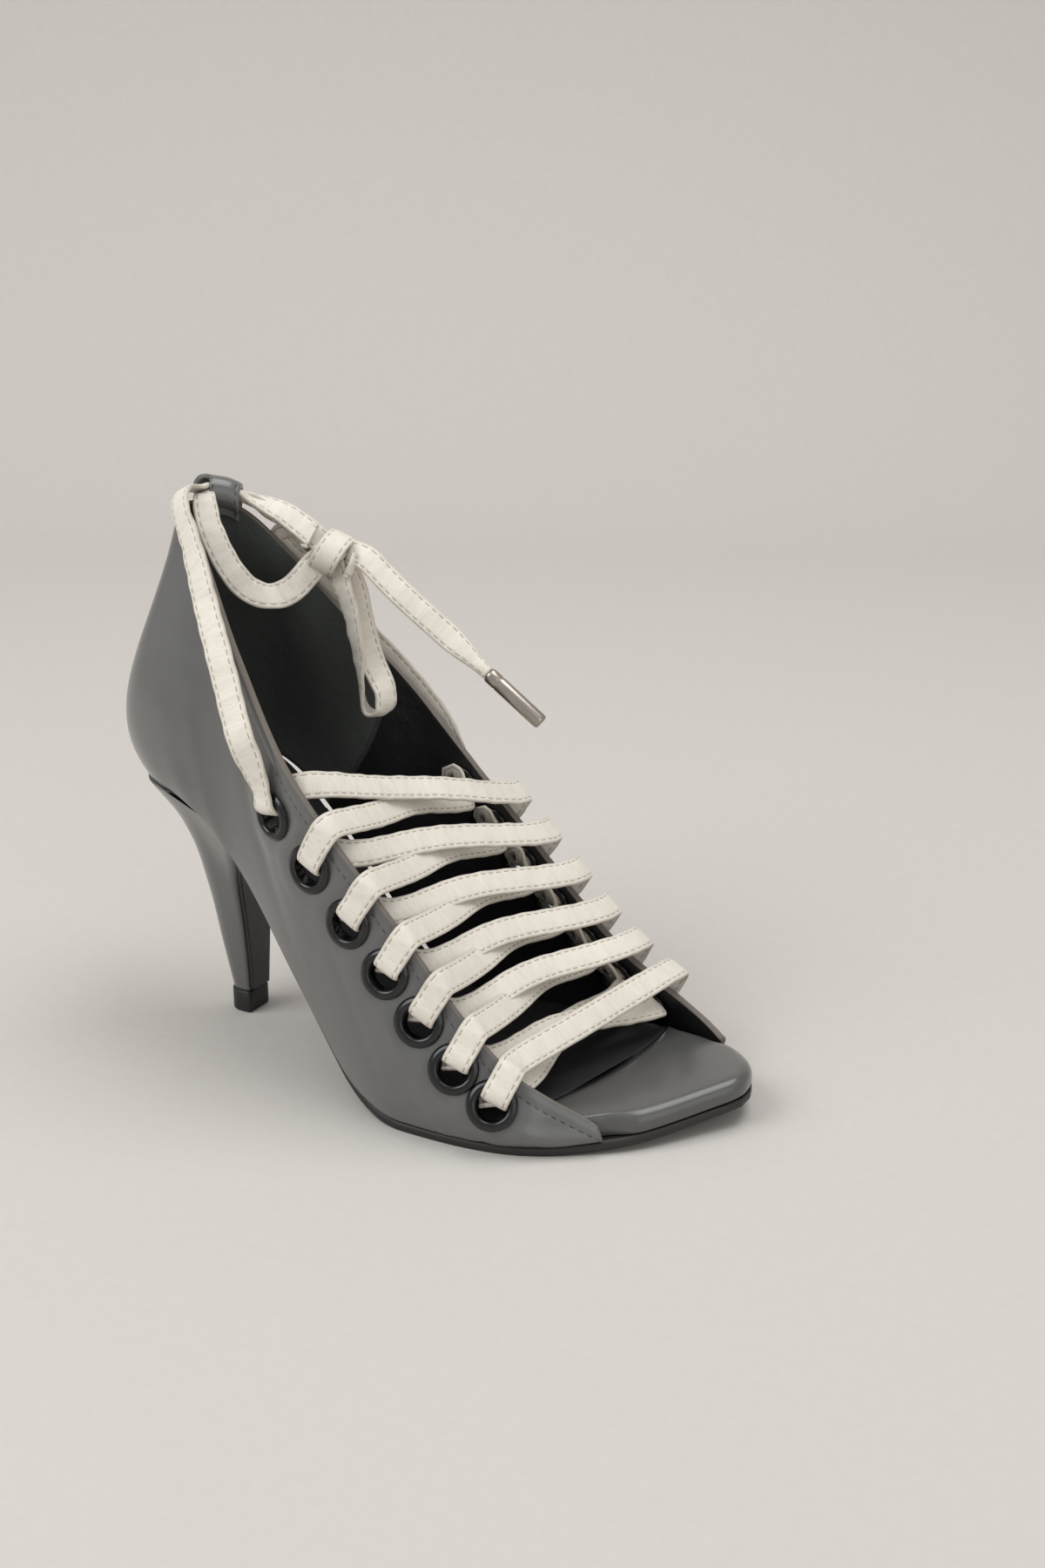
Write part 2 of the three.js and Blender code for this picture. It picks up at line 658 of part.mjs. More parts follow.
// Stops of a lace that leaves an eyelet on the outside and climbs over the top edge, which it
// passes a little nearer to the toe.
function overEdge(place) {
  const half = LACE_THICKNESS / 2;
  const lift = place.seat + EYELET_FLANGE + LACE_GAP + half;
  const passing = place.turn + LACE_SLANT * Math.sign(place.turn);
  const between = place.turn + 0.5 * LACE_SLANT * Math.sign(place.turn);
  const edge = behindWall(passing, 1, WALL / 2);
  const open = mouth(passing);
  const side = wallNormal(passing, 0.97);
  const crest = side.clone().add(open).normalize();
  const middle = (place.rise + 1) / 2;
  const clear = WALL / 2 + LACE_GAP + half;
  const slack = place.turn > 0 ? LACE_SLACK : 0;
  return [
    { at: place.point.clone().addScaledVector(place.normal, lift), face: place.normal },
    { at: behindWall(between, middle, -(LACE_GAP + half + 1.4 + slack)), face: wallNormal(between, middle) },
    { at: edge.clone().addScaledVector(crest, clear + 1.6).addScaledVector(side, slack), face: crest },
    { at: edge.clone().addScaledVector(open, clear + 0.6 + 0.3 * slack).addScaledVector(side, -3), face: open },
  ];
}

// Stops of a lace that passes below the top edge and ends at the back of an eyelet.
function underEdge(place, drop = LACE_DROP) {
  const half = LACE_THICKNESS / 2;
  const passing = place.turn + LACE_SLANT * Math.sign(place.turn);
  const near = riseBelowEdge(passing, drop);
  const depth = place.back - EYELET_BACK_FLANGE - LACE_GAP - half;
  const face = mouth(place.turn).add(place.normal).normalize();
  return [
    { at: behindWall(passing, near, WALL + LACE_GAP + half + 3.4), face },
    { at: place.point.clone().addScaledVector(place.normal, depth), face: place.normal },
  ];
}

// Stops on the way across the throat between two ends.
function across(a, b, open, lift) {
  return [0.33, 0.67].map((share) => {
    return { at: a.clone().lerp(b, share).addScaledVector(open, lift), face: open };
  });
}

function crossing(from, to, lift) {
  const start = overEdge(from);
  const end = underEdge(to);
  return strip([...start, ...across(start[3].at, end[0].at, mouth(from.turn), lift), ...end]);
}

function insideCrossing(from, to, lift) {
  const start = underEdge(from, LACE_DROP / 2).reverse();
  const end = underEdge(to);
  return strip([...start, ...across(start[1].at, end[0].at, mouth(from.turn), lift), ...end]);
}

function joined(first, second) {
  return fromSolid(toSolid(first).add(toSolid(second)));
}

function laceBars() {
  const bars = {};
  const last = EYELETS - 1;
  const start = overEdge(PLACES.l[last]);
  const end = overEdge(PLACES.m[last]).reverse();
  const between = across(start[3].at, end[0].at, mouth(PLACES.l[last].turn), 0.5);
  bars[`lace_bar_${EYELETS}`] = strip([...start, ...between, ...end]);
  bars[`lace_cross_${EYELETS}`] = joined(
    insideCrossing(PLACES.l[last], PLACES.m[last - 1], 0),
    insideCrossing(PLACES.m[last], PLACES.l[last - 1], 0.6),
  );
  for (let k = last - 1; k > 0; k -= 1) {
    bars[`lace_cross_${k + 1}`] = joined(
      crossing(PLACES.l[k], PLACES.m[k - 1], 0.4),
      crossing(PLACES.m[k], PLACES.l[k - 1], 0),
    );
  }
  return bars;
}

// Plain tube along a free stretch of the lace.
function cord(route, steps) {
  const stops = route.map((p) => (p.isVector3 ? p : new THREE.Vector3(...p)));
  const path = new THREE.CatmullRomCurve3(stops, false, "centripetal");
  const shape = new THREE.Shape();
  spaced(0, 360, CORD_SIDES).slice(0, CORD_SIDES).map(radians).forEach((a, i) => {
    const x = (LACE_CORD / 2) * Math.cos(a);
    const y = (LACE_CORD / 2) * Math.sin(a);
    if (i === 0) shape.moveTo(x, y);
    else shape.lineTo(x, y);
  });
  return tidy(new THREE.ExtrudeGeometry(shape, { steps, extrudePath: path, bevelEnabled: false }));
}

// Where a free lace leaves the outer flange of an eyelet.
function leaving({ point, normal, seat }) {
  return point.clone().addScaledVector(normal, seat + EYELET_FLANGE + GAP + LACE_CORD / 2);
}

function besideEdge({ turn, out, up }) {
  const p = topEdge(turn).addScaledVector(wallNormal(turn, 0.97), out);
  p.z += up;
  return p;
}

function knot() {
  const ball = new THREE.SphereGeometry(1, 12, 8);
  ball.scale(...KNOT_RADII);
  return tidy(ball).translate(...KNOT);
}

// Place on the knot's surface, clear of it, on the side that looks towards a point.
function atKnot(towards) {
  const centre = new THREE.Vector3(...KNOT);
  const way = new THREE.Vector3(...towards).sub(centre).normalize();
  const radius = 1 / Math.hypot(way.x / KNOT_RADII[0], way.y / KNOT_RADII[1], way.z / KNOT_RADII[2]);
  return centre.addScaledVector(way, radius + 1.2 * GAP);
}

function aglet() {
  const start = new THREE.Vector3(...FREE_END[FREE_END.length - 1]);
  const aim = new THREE.Vector3(...AGLET_AIM).sub(start).normalize();
  const tube = tidy(new THREE.CylinderGeometry(AGLET_DIAMETER / 2, AGLET_DIAMETER / 2, AGLET_LENGTH, 12));
  return placedOn(tube, start.addScaledVector(aim, GAP + AGLET_LENGTH / 2 + 0.3), aim);
}

const leather = { color: 0x5d6160, roughness: 0.35, metalness: 0 };
const dark = { color: 0x1b1b1c, roughness: 0.6, metalness: 0 };
const lace = { color: 0xe2dccf, roughness: 0.6, metalness: 0 };
const metal = { color: 0x33373a, roughness: 0.3, metalness: 0.9 };

const shoe = new THREE.Group();
function add(name, geometry, look) {
  const mesh = new THREE.Mesh(geometry, new THREE.MeshStandardMaterial(look));
  mesh.name = name;
  shoe.add(mesh);
}

add("upper", upper(), leather);
add("insole", insole(), dark);
add("toe_platform", toePlatform(), leather);
add("outsole", outsole(), dark);
add("heel", heel(), leather);
add("heel_breast", heelBreast(), dark);
add("top_piece", topPiece(), dark);
add("heel_loop", heelLoop(), leather);
for (const [side, places] of Object.entries(PLACES)) {
  places.forEach((place, i) => add(`eyelet_${side}${i + 1}`, eyelet(place), metal));
}
for (const [name, geometry] of Object.entries(laceBars())) {
  add(name, geometry, lace);
}
add("lace_lateral", cord([leaving(PLACES.l[0]), ...LATERAL_RUN], 16), lace);
add("lace_tunnel", cord([...TUNNEL_RUN, atKnot([10, 19.6, 151.5])], 9), lace);
add("lace_medial", cord([leaving(PLACES.m[0]), ...MEDIAL_RUN.map(besideEdge)], 14), lace);
add("lace_drape", cord([...DRAPE, atKnot([16, 13.5, 137])], 14), lace);
add("lace_loop", cord([atKnot([23.2, 19, 136]), ...HANGING_LOOP, atKnot([27.6, 22.2, 138.4])], 18), lace);
add("lace_end", cord([atKnot([30, 21.4, 143.2]), ...FREE_END], 7), lace);
add("lace_knot", knot(), lace);
add("aglet", aglet(), { color: 0x8d8478, roughness: 0.3, metalness: 0.9 });

export default shoe;
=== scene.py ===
import math

import bmesh
import bpy
import numpy as np
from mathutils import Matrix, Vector


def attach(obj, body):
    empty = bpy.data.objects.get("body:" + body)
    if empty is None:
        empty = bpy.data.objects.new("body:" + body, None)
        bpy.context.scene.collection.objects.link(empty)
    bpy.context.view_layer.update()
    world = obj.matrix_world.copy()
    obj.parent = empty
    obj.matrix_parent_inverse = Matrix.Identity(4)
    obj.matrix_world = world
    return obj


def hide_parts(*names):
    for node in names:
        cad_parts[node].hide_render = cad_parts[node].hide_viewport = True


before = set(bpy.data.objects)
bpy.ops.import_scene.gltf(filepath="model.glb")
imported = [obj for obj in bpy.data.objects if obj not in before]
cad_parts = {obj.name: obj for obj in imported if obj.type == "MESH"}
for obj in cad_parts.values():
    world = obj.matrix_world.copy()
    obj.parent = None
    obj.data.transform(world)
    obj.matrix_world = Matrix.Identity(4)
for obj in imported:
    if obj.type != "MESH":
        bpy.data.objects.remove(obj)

bl_info = {
    "name": "Open-toe lace-up heeled shoe",
    "version": (1, 0, 0),
    "blender": (4, 5, 0),
    "location": "3D View > Sidebar > Shoe",
    "description": "Builds a lace-up heeled shoe for the right foot from its sizes",
    "category": "Add Mesh",
}

MM = 0.001
UP = np.array([0.0, 0.0, 1.0])

# Outline of the sole: turn round it from the back, then the outer and inner side as shares of
# the ball width.
OUTLINE = np.array([
    [0, 0, 0], [20, 0.163, 0.163], [40, 0.283, 0.283], [60, 0.307, 0.295], [80, 0.386, 0.337],
    [100, 0.52, 0.44], [120, 0.478, 0.47], [140, 0.29, 0.422], [160, 0.03, 0.277],
    [180, -0.108, 0.108],
])
# Underside of the sole: share of the sole's length, share of the heel's height.
ARCH = np.array([
    [0, 1], [0.093, 1], [0.171, 0.932], [0.249, 0.736], [0.352, 0.385], [0.456, 0.088],
    [0.534, 0.014], [0.601, 0], [0.7, 0],
])
TREAD_END = 0.746
# Top edge: turn, then along, out, up and belly as shares of length, width, height and width.
TOP_OUTER = np.array([
    [0, 0.086, -0.058, 0.994, 0.235], [20, 0.087, 0.07, 0.994, 0.2],
    [40, 0.137, 0.162, 0.966, 0.12], [60, 0.259, 0.318, 0.772, 0.06],
    [80, 0.394, 0.434, 0.575, 0.06], [100, 0.56, 0.446, 0.365, 0.072],
    [120, 0.725, 0.434, 0.157, 0.066], [137, 0.86, 0.33, 0.052, 0.02],
])
TOP_INNER = np.array([
    [0, 0.086, 0.058, 0.994, 0.235], [20, 0.1207, 0.139, 0.978, 0.2],
    [40, 0.168, 0.205, 0.923, 0.12], [60, 0.259, 0.307, 0.783, 0.06],
    [80, 0.394, 0.434, 0.588, 0.06], [100, 0.56, 0.446, 0.38, 0.06],
    [120, 0.725, 0.446, 0.189, 0.05], [137, 0.876, 0.428, 0.088, 0.02],
    [143, 0.912, 0.415, 0.06, 0.015],
])
TURN_OUTER, TURN_INNER = 137, 142
# Heel: share of the way up, then back, front and half width as shares of length and width.
HEEL = np.array([
    [0, 0, 0, 0], [0.19, 0.017, 0.001, 0.011], [0.48, 0.039, 0.002, 0.036],
    [0.7, 0.06, 0.008, 0.077], [0.85, 0.082, 0.026, 0.137], [1, 0.117, 0.054, 0.214],
])
# Eyelets from the ankle to the toe: turn round the outline and share of the wall's rise.
ROW_OUTER = [(73.7, 0.74), (83.3, 0.79), (91.5, 0.78), (98.8, 0.75), (105.4, 0.69), (111.9, 0.6),
             (118.7, 0.52)]
ROW_INNER = [(85.2, 0.84), (91.8, 0.82), (98.2, 0.8), (104.6, 0.76), (111, 0.7), (117.6, 0.61),
             (124.4, 0.51)]

# Soft folds of the leather: turn, way below the edge, how far it runs along the edge and down
# the wall, lean of the fold in degrees, and how deep it is. All but the turn and lean in mm.
FOLDS = [
    (-127, 9, 11, 2.6, 25, -0.55), (-124, 15, 12, 2.4, 12, 0.4), (-112, 27, 15, 3.2, -20, -0.45),
    (-103, 33, 16, 3.4, -28, 0.4), (-92, 40, 18, 4.0, -35, -0.4), (-66, 34, 24, 5.5, -50, -0.5),
    (-50, 52, 26, 6.5, -55, 0.4), (-38, 70, 22, 7.0, -70, -0.45), (40, 60, 24, 6.0, 60, -0.5),
    (60, 40, 22, 5.0, 45, 0.5), (88, 30, 20, 4.0, 30, -0.5), (104, 24, 16, 3.5, 20, 0.45),
]

# The free lace along its own middle line, and the way its face looks there.
LATERAL_RUN = [
    ((33.2, -38.6, 101.5), (0.2, -0.93, 0.3)), ((27.2, -35.4, 112), (0.15, -0.9, 0.4)),
    ((20.5, -31, 123), (0.1, -0.88, 0.45)), ((13.5, -26.2, 133), (0.0, -0.9, 0.42)),
    ((6.8, -21.4, 143), (-0.1, -0.93, 0.35)), ((0.8, -17.2, 151.5), (-0.25, -0.93, 0.25)),
    ((-4.6, -13.6, 158), (-0.5, -0.8, 0.4)), ((-8.2, -9, 161.2), (-0.6, -0.4, 0.75)),
    ((-9.9, -4, 161.9), (-0.45, -0.05, 0.9)), ((-9.6, 1, 161.5), (-0.3, 0.05, 0.95)),
    ((-9.0, 4.6, 161.2), (-0.3, 0.1, 0.95)), ((-6.4, 7.6, 160.6), (-0.25, 0.1, 0.95)),
    ((-3.2, 10.8, 159.2), (-0.1, 0.1, 0.98)), ((0.6, 13.4, 157.2), (0.1, -0.2, 0.97)),
    ((7, 16.8, 154), (0.1, -0.5, 0.86)), ((12.6, 19, 150.2), (0.2, -0.6, 0.76)),
    ((17.2, 20.2, 146.6), (0.3, -0.6, 0.72)), ((22.0, 20.6, 143.4), (0.3, -0.6, 0.72)),
]
# Beside the inner edge: turn, way out from the edge and way above it.
INNER_RUN = [(82, 3.2, -6), (77, 2.7, -2.2), (68, 2.5, -1.2), (59, 2.5, -1.2), (50, 2.5, -0.8),
             (42, 2.6, -0.2)]
MEDIAL_RUN = [
    ((8.4, 23.2, 146.4), (0, 0.86, 0.5)), ((3.0, 18.6, 152.6), (-0.1, 0.7, 0.7)),
    ((-1.4, 14.0, 157), (-0.3, 0.4, 0.85)), ((-4.6, 9.6, 158.6), (-0.4, 0.1, 0.9)),
    ((-7.2, 6, 159.2), (-0.4, 0, 0.9)), ((-8.0, 2.4, 159.6), (-0.3, -0.3, 0.9)),
    ((-6.2, -0.8, 159.4), (0.6, -0.6, 0.5)), ((-3.8, -3.4, 156.4), (0.85, -0.5, 0.2)),
    ((-0.8, -5.4, 151.6), (0.9, -0.42, 0.1)), ((3.2, -4.4, 142.6), (0.88, -0.42, 0.2)),
    ((7.1, -0.4, 134.6), (0.72, -0.55, 0.42)), ((11.2, 4.8, 131.4), (0.5, -0.62, 0.6)),
    ((14.8, 9.6, 132.4), (0.5, -0.8, 0.3)), ((17.4, 13.6, 136), (0.6, -0.8, 0.1)),
    ((19.4, 16.6, 139.4), (0.6, -0.8, 0.1)), ((22.4, 20.0, 142.6), (0.6, -0.8, 0.1)),
]
HANGING_LOOP = [
    ((24.4, 19.6, 139.6), (-0.2, -1, 0.1)),
    ((26.8, 18.6, 134.6), (-0.2, -1, 0.1)),
    ((29.3, 18.2, 129.3), (-0.3, -1, 0)),
    ((31.9, 17.6, 120.6), (-0.4, -0.9, 0)),
    ((33.5, 17.2, 113.0), (-0.5, -0.85, -0.05)),
    ((34.3, 17.0, 104.4), (-0.75, -0.6, -0.1)),
    ((36.5, 17.4, 96.6), (-0.6, -0.25, -0.75)),
    ((40.2, 18.4, 96.9), (0.5, -0.2, -0.85)),
    ((41.1, 19.6, 102.3), (0.9, -0.4, 0.1)),
    ((36.8, 20.8, 109.6), (0.6, -0.7, 0.4)),
    ((33.5, 21.4, 117.3), (0.45, -0.85, 0.2)),
    ((30.8, 21.8, 127.1), (0.4, -0.9, 0.1)),
    ((28.7, 22.0, 134.1), (0.4, -0.9, 0.1)),
    ((25.2, 21.8, 139.4), (0.4, -0.9, 0.1)),
]
FREE_END = [
    ((28.2, 21.1, 143.2), (0.2, -0.85, 0.5)), ((33, 21.8, 142.2), (0.3, -0.8, 0.55)),
    ((39, 22.4, 137.6), (0.35, -0.75, 0.55)), ((47, 23.4, 130.8), (0.35, -0.8, 0.5)),
    ((59, 25.4, 121.4), (0.35, -0.8, 0.5)), ((71.4, 27.6, 111.1), (0.35, -0.8, 0.5)),
]
KNOT = (22.5, 20.5, 142.5)
AGLET_START, AGLET_AIM = (71, 27.5, 111.4), (86.4, 30.0, 99.0)
# Share of the lace's width where it is drawn together, counted in the points of its run.
SQUEEZED_LATERAL = {8: 0.9, 9: 0.8, 10: 0.72, 11: 0.72, 12: 0.78, 13: 0.9}
SQUEEZED_MEDIAL = {1: 0.95, 2: 0.8, 3: 0.68, 4: 0.68, 5: 0.7, 6: 0.82, 7: 0.95}

SEAM_BOW, SEAM_CREST, SEAM_SPAN = 2.5, 22, 24.7  # seam behind the toes: bow, its crest and half span
FLARE, FLARE_CENTRE = 0.7, (-4.0, 0.0)  # growth of the heel's top at the back, and from where
HOLE = 5.2  # radius cut in the upper for an eyelet
RIM_BAND = 2.3  # room round a hole in which its two rims are joined
BARREL = 5.1  # radius of an eyelet's barrel
FLANGE = 1.1  # height of an eyelet's flange
STITCH_IN = 4.4  # row of stitches below the edge
UNSTITCHED = 60  # way below the edge given to faces with no stitches

PATCH_RIM = (0.05, 0.055, 0.055)
WORN_LACE = (0.46, 0.40, 0.32)
SOILED_EDGE = (0.33, 0.28, 0.22)
BREAST_BLACK = (0.012, 0.012, 0.013)
RUBBER_BLACK = (0.012, 0.012, 0.012)

# Camera in metres, with the level way it looks and how far it tips down, in degrees.
CAMERA_AT, CAMERA_WAY, CAMERA_TIP, LENS = (0.3578, -0.4486, 0.274), (-0.5, 0.866), 19.5, 46
# Lamps: name, place, what it points at, size in metres and power.
LAMPS = [
    ("window", (-0.55, -0.75, 0.95), (0, 0, 0.07), (0.9, 0.9), 8.6),
    ("top", (0.35, 0.25, 1.3), (0.05, 0, 0.05), (1.0, 0.7), 7.4),
    ("fill", (1.2, -0.5, 0.5), (0.05, 0, 0.06), (0.9, 0.9), 2.0),
]
SKY, SKY_POWER = (1.0, 0.985, 0.96), 0.5


class ShoeSizes(bpy.types.PropertyGroup):
    """Sizes of the shoe in millimetres"""
    sole_length: bpy.props.FloatProperty(name="Sole length", default=193, description="Length on the level")
    setback: bpy.props.FloatProperty(name="Seat setback", default=28, description="Seat behind the heel tip")
    ball_width: bpy.props.FloatProperty(name="Ball width", default=83, description="Width at the ball")
    heel_height: bpy.props.FloatProperty(name="Heel height", default=74, description="Floor to the seat")
    toe_spring: bpy.props.FloatProperty(name="Toe spring", default=6, description="Rise of the toe")
    collar: bpy.props.FloatProperty(name="Collar height", default=159, description="Floor to the collar")
    wall: bpy.props.FloatProperty(name="Wall", default=2, description="Thickness of the upper")
    outsole: bpy.props.FloatProperty(name="Outsole", default=2.5, description="Thickness of the outsole")
    insole: bpy.props.FloatProperty(name="Insole", default=2.5, description="Thickness at the seat")
    footbed: bpy.props.FloatProperty(name="Footbed", default=6, description="Thickness under the toes")
    front_edge: bpy.props.FloatProperty(name="Insole front", default=127, description="Front of the insole")
    tip_width: bpy.props.FloatProperty(name="Tip width", default=9.2, description="Width of the heel tip")
    tip_depth: bpy.props.FloatProperty(name="Tip depth", default=7.7, description="Depth of the heel tip")
    top_piece: bpy.props.FloatProperty(name="Top piece", default=7, description="Height of the rubber tip")
    eyelet: bpy.props.FloatProperty(name="Eyelet radius", default=7.1, description="Radius of the flange")
    bore: bpy.props.FloatProperty(name="Eyelet bore", default=4.4, description="Radius of the hole")
    lace_width: bpy.props.FloatProperty(name="Lace width", default=8, description="Width of the lace")
    lace_thick: bpy.props.FloatProperty(name="Lace thickness", default=1.25, description="From face to face")
    slant: bpy.props.FloatProperty(name="Lace slant", default=3.2, description="Turn from eyelet to crest")
    stitch: bpy.props.FloatProperty(name="Stitch pitch", default=2.6, description="Length of one stitch")
    gap: bpy.props.FloatProperty(name="Gap", default=0.3, description="Room between pieces")


class ShoeColours(bpy.types.PropertyGroup):
    """Colours of the shoe, linear"""
    leather: bpy.props.FloatVectorProperty(
        name="Leather", description="Outer leather", size=3, subtype="COLOR", default=(0.118, 0.119, 0.117))
    lining: bpy.props.FloatVectorProperty(
        name="Lining", description="Lining leather", size=3, subtype="COLOR", default=(0.012, 0.012, 0.013))
    suede: bpy.props.FloatVectorProperty(
        name="Heel grip", description="Suede patch", size=3, subtype="COLOR", default=(0.07, 0.078, 0.073))
    raw_edge: bpy.props.FloatVectorProperty(
        name="Cut edge", description="Edge of the upper", size=3, subtype="COLOR", default=(0.17, 0.15, 0.13))
    sole: bpy.props.FloatVectorProperty(
        name="Sole", description="Outsole", size=3, subtype="COLOR", default=(0.016, 0.014, 0.013))
    lace: bpy.props.FloatVectorProperty(
        name="Lace", description="Lace leather", size=3, subtype="COLOR", default=(0.8, 0.755, 0.68))
    thread: bpy.props.FloatVectorProperty(
        name="Thread", description="Lace stitches", size=3, subtype="COLOR", default=(0.4, 0.35, 0.28))
    metal: bpy.props.FloatVectorProperty(
        name="Eyelets", description="Eyelet metal", size=3, subtype="COLOR", default=(0.036, 0.037, 0.038))
    aglet: bpy.props.FloatVectorProperty(
        name="Aglet", description="Metal tip of the lace", size=3, subtype="COLOR", default=(0.4, 0.36, 0.32))
    floor: bpy.props.FloatVectorProperty(
        name="Floor", description="Floor and wall", size=3, subtype="COLOR", default=(0.6, 0.575, 0.545))


def sizes():
    """The sizes set in the panel."""
    return bpy.context.scene.shoe_sizes


def colours():
    """The colours set in the panel."""
    return bpy.context.scene.shoe_colours


def unit(v):
    """v / |v| along the last axis."""
    v = np.asarray(v, float)
    return v / np.maximum(np.linalg.norm(v, axis=-1, keepdims=True), 1e-12)


def read(table, column, at):
    """Monotone cubic through the table's rows: y = a(1-s) + b s with s = t^2(3-2t), plus the
    rows' slopes times t(1-t)."""
    x, y = table[:, 0], table[:, column]
    at = np.clip(np.asarray(at, float), x[0], x[-1])
    step = np.diff(x)
    slope = np.diff(y) / step
    tangent = np.empty_like(y)
    tangent[0], tangent[-1] = slope[0], slope[-1]
    mean = (slope[:-1] * step[1:] + slope[1:] * step[:-1]) / (step[1:] + step[:-1])
    limit = 3 * np.minimum(np.abs(slope[:-1]), np.abs(slope[1:]))
    inner = np.sign(mean) * np.minimum(np.abs(mean), limit)
    tangent[1:-1] = np.where(slope[:-1] * slope[1:] <= 0, 0, inner)
    i = np.clip(np.searchsorted(x, at, side="right") - 1, 0, len(x) - 2)
    t = (at - x[i]) / step[i]
    bend = (1 - t) * tangent[i] - t * tangent[i + 1]
    return y[i] + (y[i + 1] - y[i]) * t * t * (3 - 2 * t) + step[i] * t * (1 - t) * bend


def way_along(points):
    """Way along a line of points, from 0 at the first."""
    return np.concatenate([[0], np.cumsum(np.linalg.norm(np.diff(points, axis=0), axis=1))])


def smooth(x, low, high):
    """3t^2 - 2t^3 between low and high."""
    t = np.clip((np.asarray(x, float) - low) / (high - low), 0, 1)
    return t * t * (3 - 2 * t)


def underside(x):
    """Height of the sole's underside: the arch's table plus a parabola of toe spring."""
    s = sizes()
    along = (np.asarray(x, float) + s.setback) / s.sole_length
    spring = np.maximum(0, (along - TREAD_END) / (1 - TREAD_END))
    return s.heel_height * read(ARCH, 1, along) + s.toe_spring * spring ** 2


def outline(turn):
    """x = L(1 - cos a)/2 - setback, y = +-W share(a), with a the size of the turn."""
    s = sizes()
    turn = np.asarray(turn, float)
    angle = np.abs(turn)
    x = -s.setback + s.sole_length * (1 - np.cos(np.radians(angle))) / 2
    share = np.where(turn < 0, read(OUTLINE, 1, angle), read(OUTLINE, 2, angle))
    return x, np.sign(turn) * s.ball_width * share


def outward(turn):
    """Level normal of the outline, by a central difference."""
    ax, ay = outline(np.asarray(turn, float) - 0.4)
    bx, by = outline(np.asarray(turn, float) + 0.4)
    return unit(np.stack([ay - by, bx - ax, 0 * ax], -1))


def top_edge(turn):
    """Top edge of the wall: shares of the sole's length, ball width and collar height."""
    s = sizes()
    turn = np.asarray(turn, float)
    angle = np.abs(turn)
    pick = [np.where(turn < 0, read(TOP_OUTER, c, angle), read(TOP_INNER, c, angle)) for c in (1, 2, 3)]
    side = np.where(turn < 0, -1, 1)
    return np.stack([-s.setback + s.sole_length * pick[0], side * s.ball_width * pick[1],
                     s.collar * pick[2]], -1)


def wall_point(turn, rise):
    """Cubic Bezier from the sole's edge to the top edge, swelling outwards by the belly."""
    s = sizes()
    turn, rise = np.broadcast_arrays(np.asarray(turn, float), np.asarray(rise, float))
    x, y = outline(turn)
    low = np.stack([x, y, underside(x) + s.outsole + s.gap], -1)
    high = top_edge(turn)
    away = outward(turn)
    angle = np.abs(turn)
    belly = s.ball_width * np.where(turn < 0, read(TOP_OUTER, 4, angle), read(TOP_INNER, 4, angle))
    belly = belly[..., None]
    height = (high - low)[..., 2:3]
    b = low + away * belly + UP * 0.28 * height
    c = high + away * 0.35 * belly - UP * 0.36 * height
    t = rise[..., None]
    return (1 - t) ** 3 * low + 3 * (1 - t) ** 2 * t * b + 3 * (1 - t) * t ** 2 * c + t ** 3 * high


def wall_normal(turn, rise):
    """Cross product of the wall's slopes up and along, by central differences."""
    turn, rise = np.broadcast_arrays(np.asarray(turn, float), np.asarray(rise, float))
    climb = wall_point(turn, np.clip(rise + 0.02, 0, 1)) - wall_point(turn, np.clip(rise - 0.02, 0, 1))
    run = wall_point(turn + 0.5, rise) - wall_point(turn - 0.5, rise)
    return unit(np.cross(climb, run))


def behind_wall(turn, rise, depth):
    """Point at a depth behind the wall's outer face, along its normal."""
    return wall_point(turn, rise) - wall_normal(turn, rise) * np.asarray(depth)[..., None]


def rise_below(turn, drop):
    """Rise at which the wall lies a given way below its top edge, along the surface."""
    rises = np.linspace(1, 0.1, 181)
    points = wall_point(turn, rises)
    return float(np.interp(drop, way_along(points), rises))


def places(row, side):
    """Eyelets of one row, with the seat of each flange found on the wall round it."""
    s = sizes()
    found = []
    for turn, rise in row:
        turn = side * turn
        point, normal = wall_point(turn, rise), wall_normal(turn, rise)
        t, r = np.meshgrid(turn + np.linspace(-7, 7, 41),
                           np.clip(rise + np.linspace(-0.25, 0.25, 41), 0, 1))
        near = wall_point(t, r) - point
        height = near @ normal
        reach = np.linalg.norm(near - height[..., None] * normal, axis=-1)
        seat = height[reach < s.eyelet].max() + s.gap
        back = height[reach < s.eyelet - 0.7].min() - s.wall - s.gap
        up = wall_point(turn, min(rise + 0.05, 1)) - point
        climb = unit(up - normal * (up @ normal))
        found.append({"turn": turn, "rise": rise, "point": point, "normal": normal,
                      "seat": seat, "back": back, "climb": climb})
    return found


def eyelet_rows():
    """Both rows of eyelets, outer and inner side."""
    return {"l": places(ROW_OUTER, -1), "m": places(ROW_INNER, 1)}


def turn_outwards(mesh, holes=()):
    """Joins the two rims round each hole by a band, and turns all faces outwards."""
    shell = bmesh.new()
    shell.from_mesh(mesh)
    for centre, reach in holes:
        middle = Vector(centre) * MM
        rims = [e for e in shell.edges if e.is_boundary and (e.verts[0].co - middle).length < reach * MM]
        bmesh.ops.bridge_loops(shell, edges=rims)
    bmesh.ops.remove_doubles(shell, verts=shell.verts, dist=1e-7)
    bmesh.ops.recalc_face_normals(shell, faces=shell.faces)
    if shell.calc_volume(signed=True) < 0:
        bmesh.ops.reverse_faces(shell, faces=shell.faces)
    shell.to_mesh(mesh)
    shell.free()


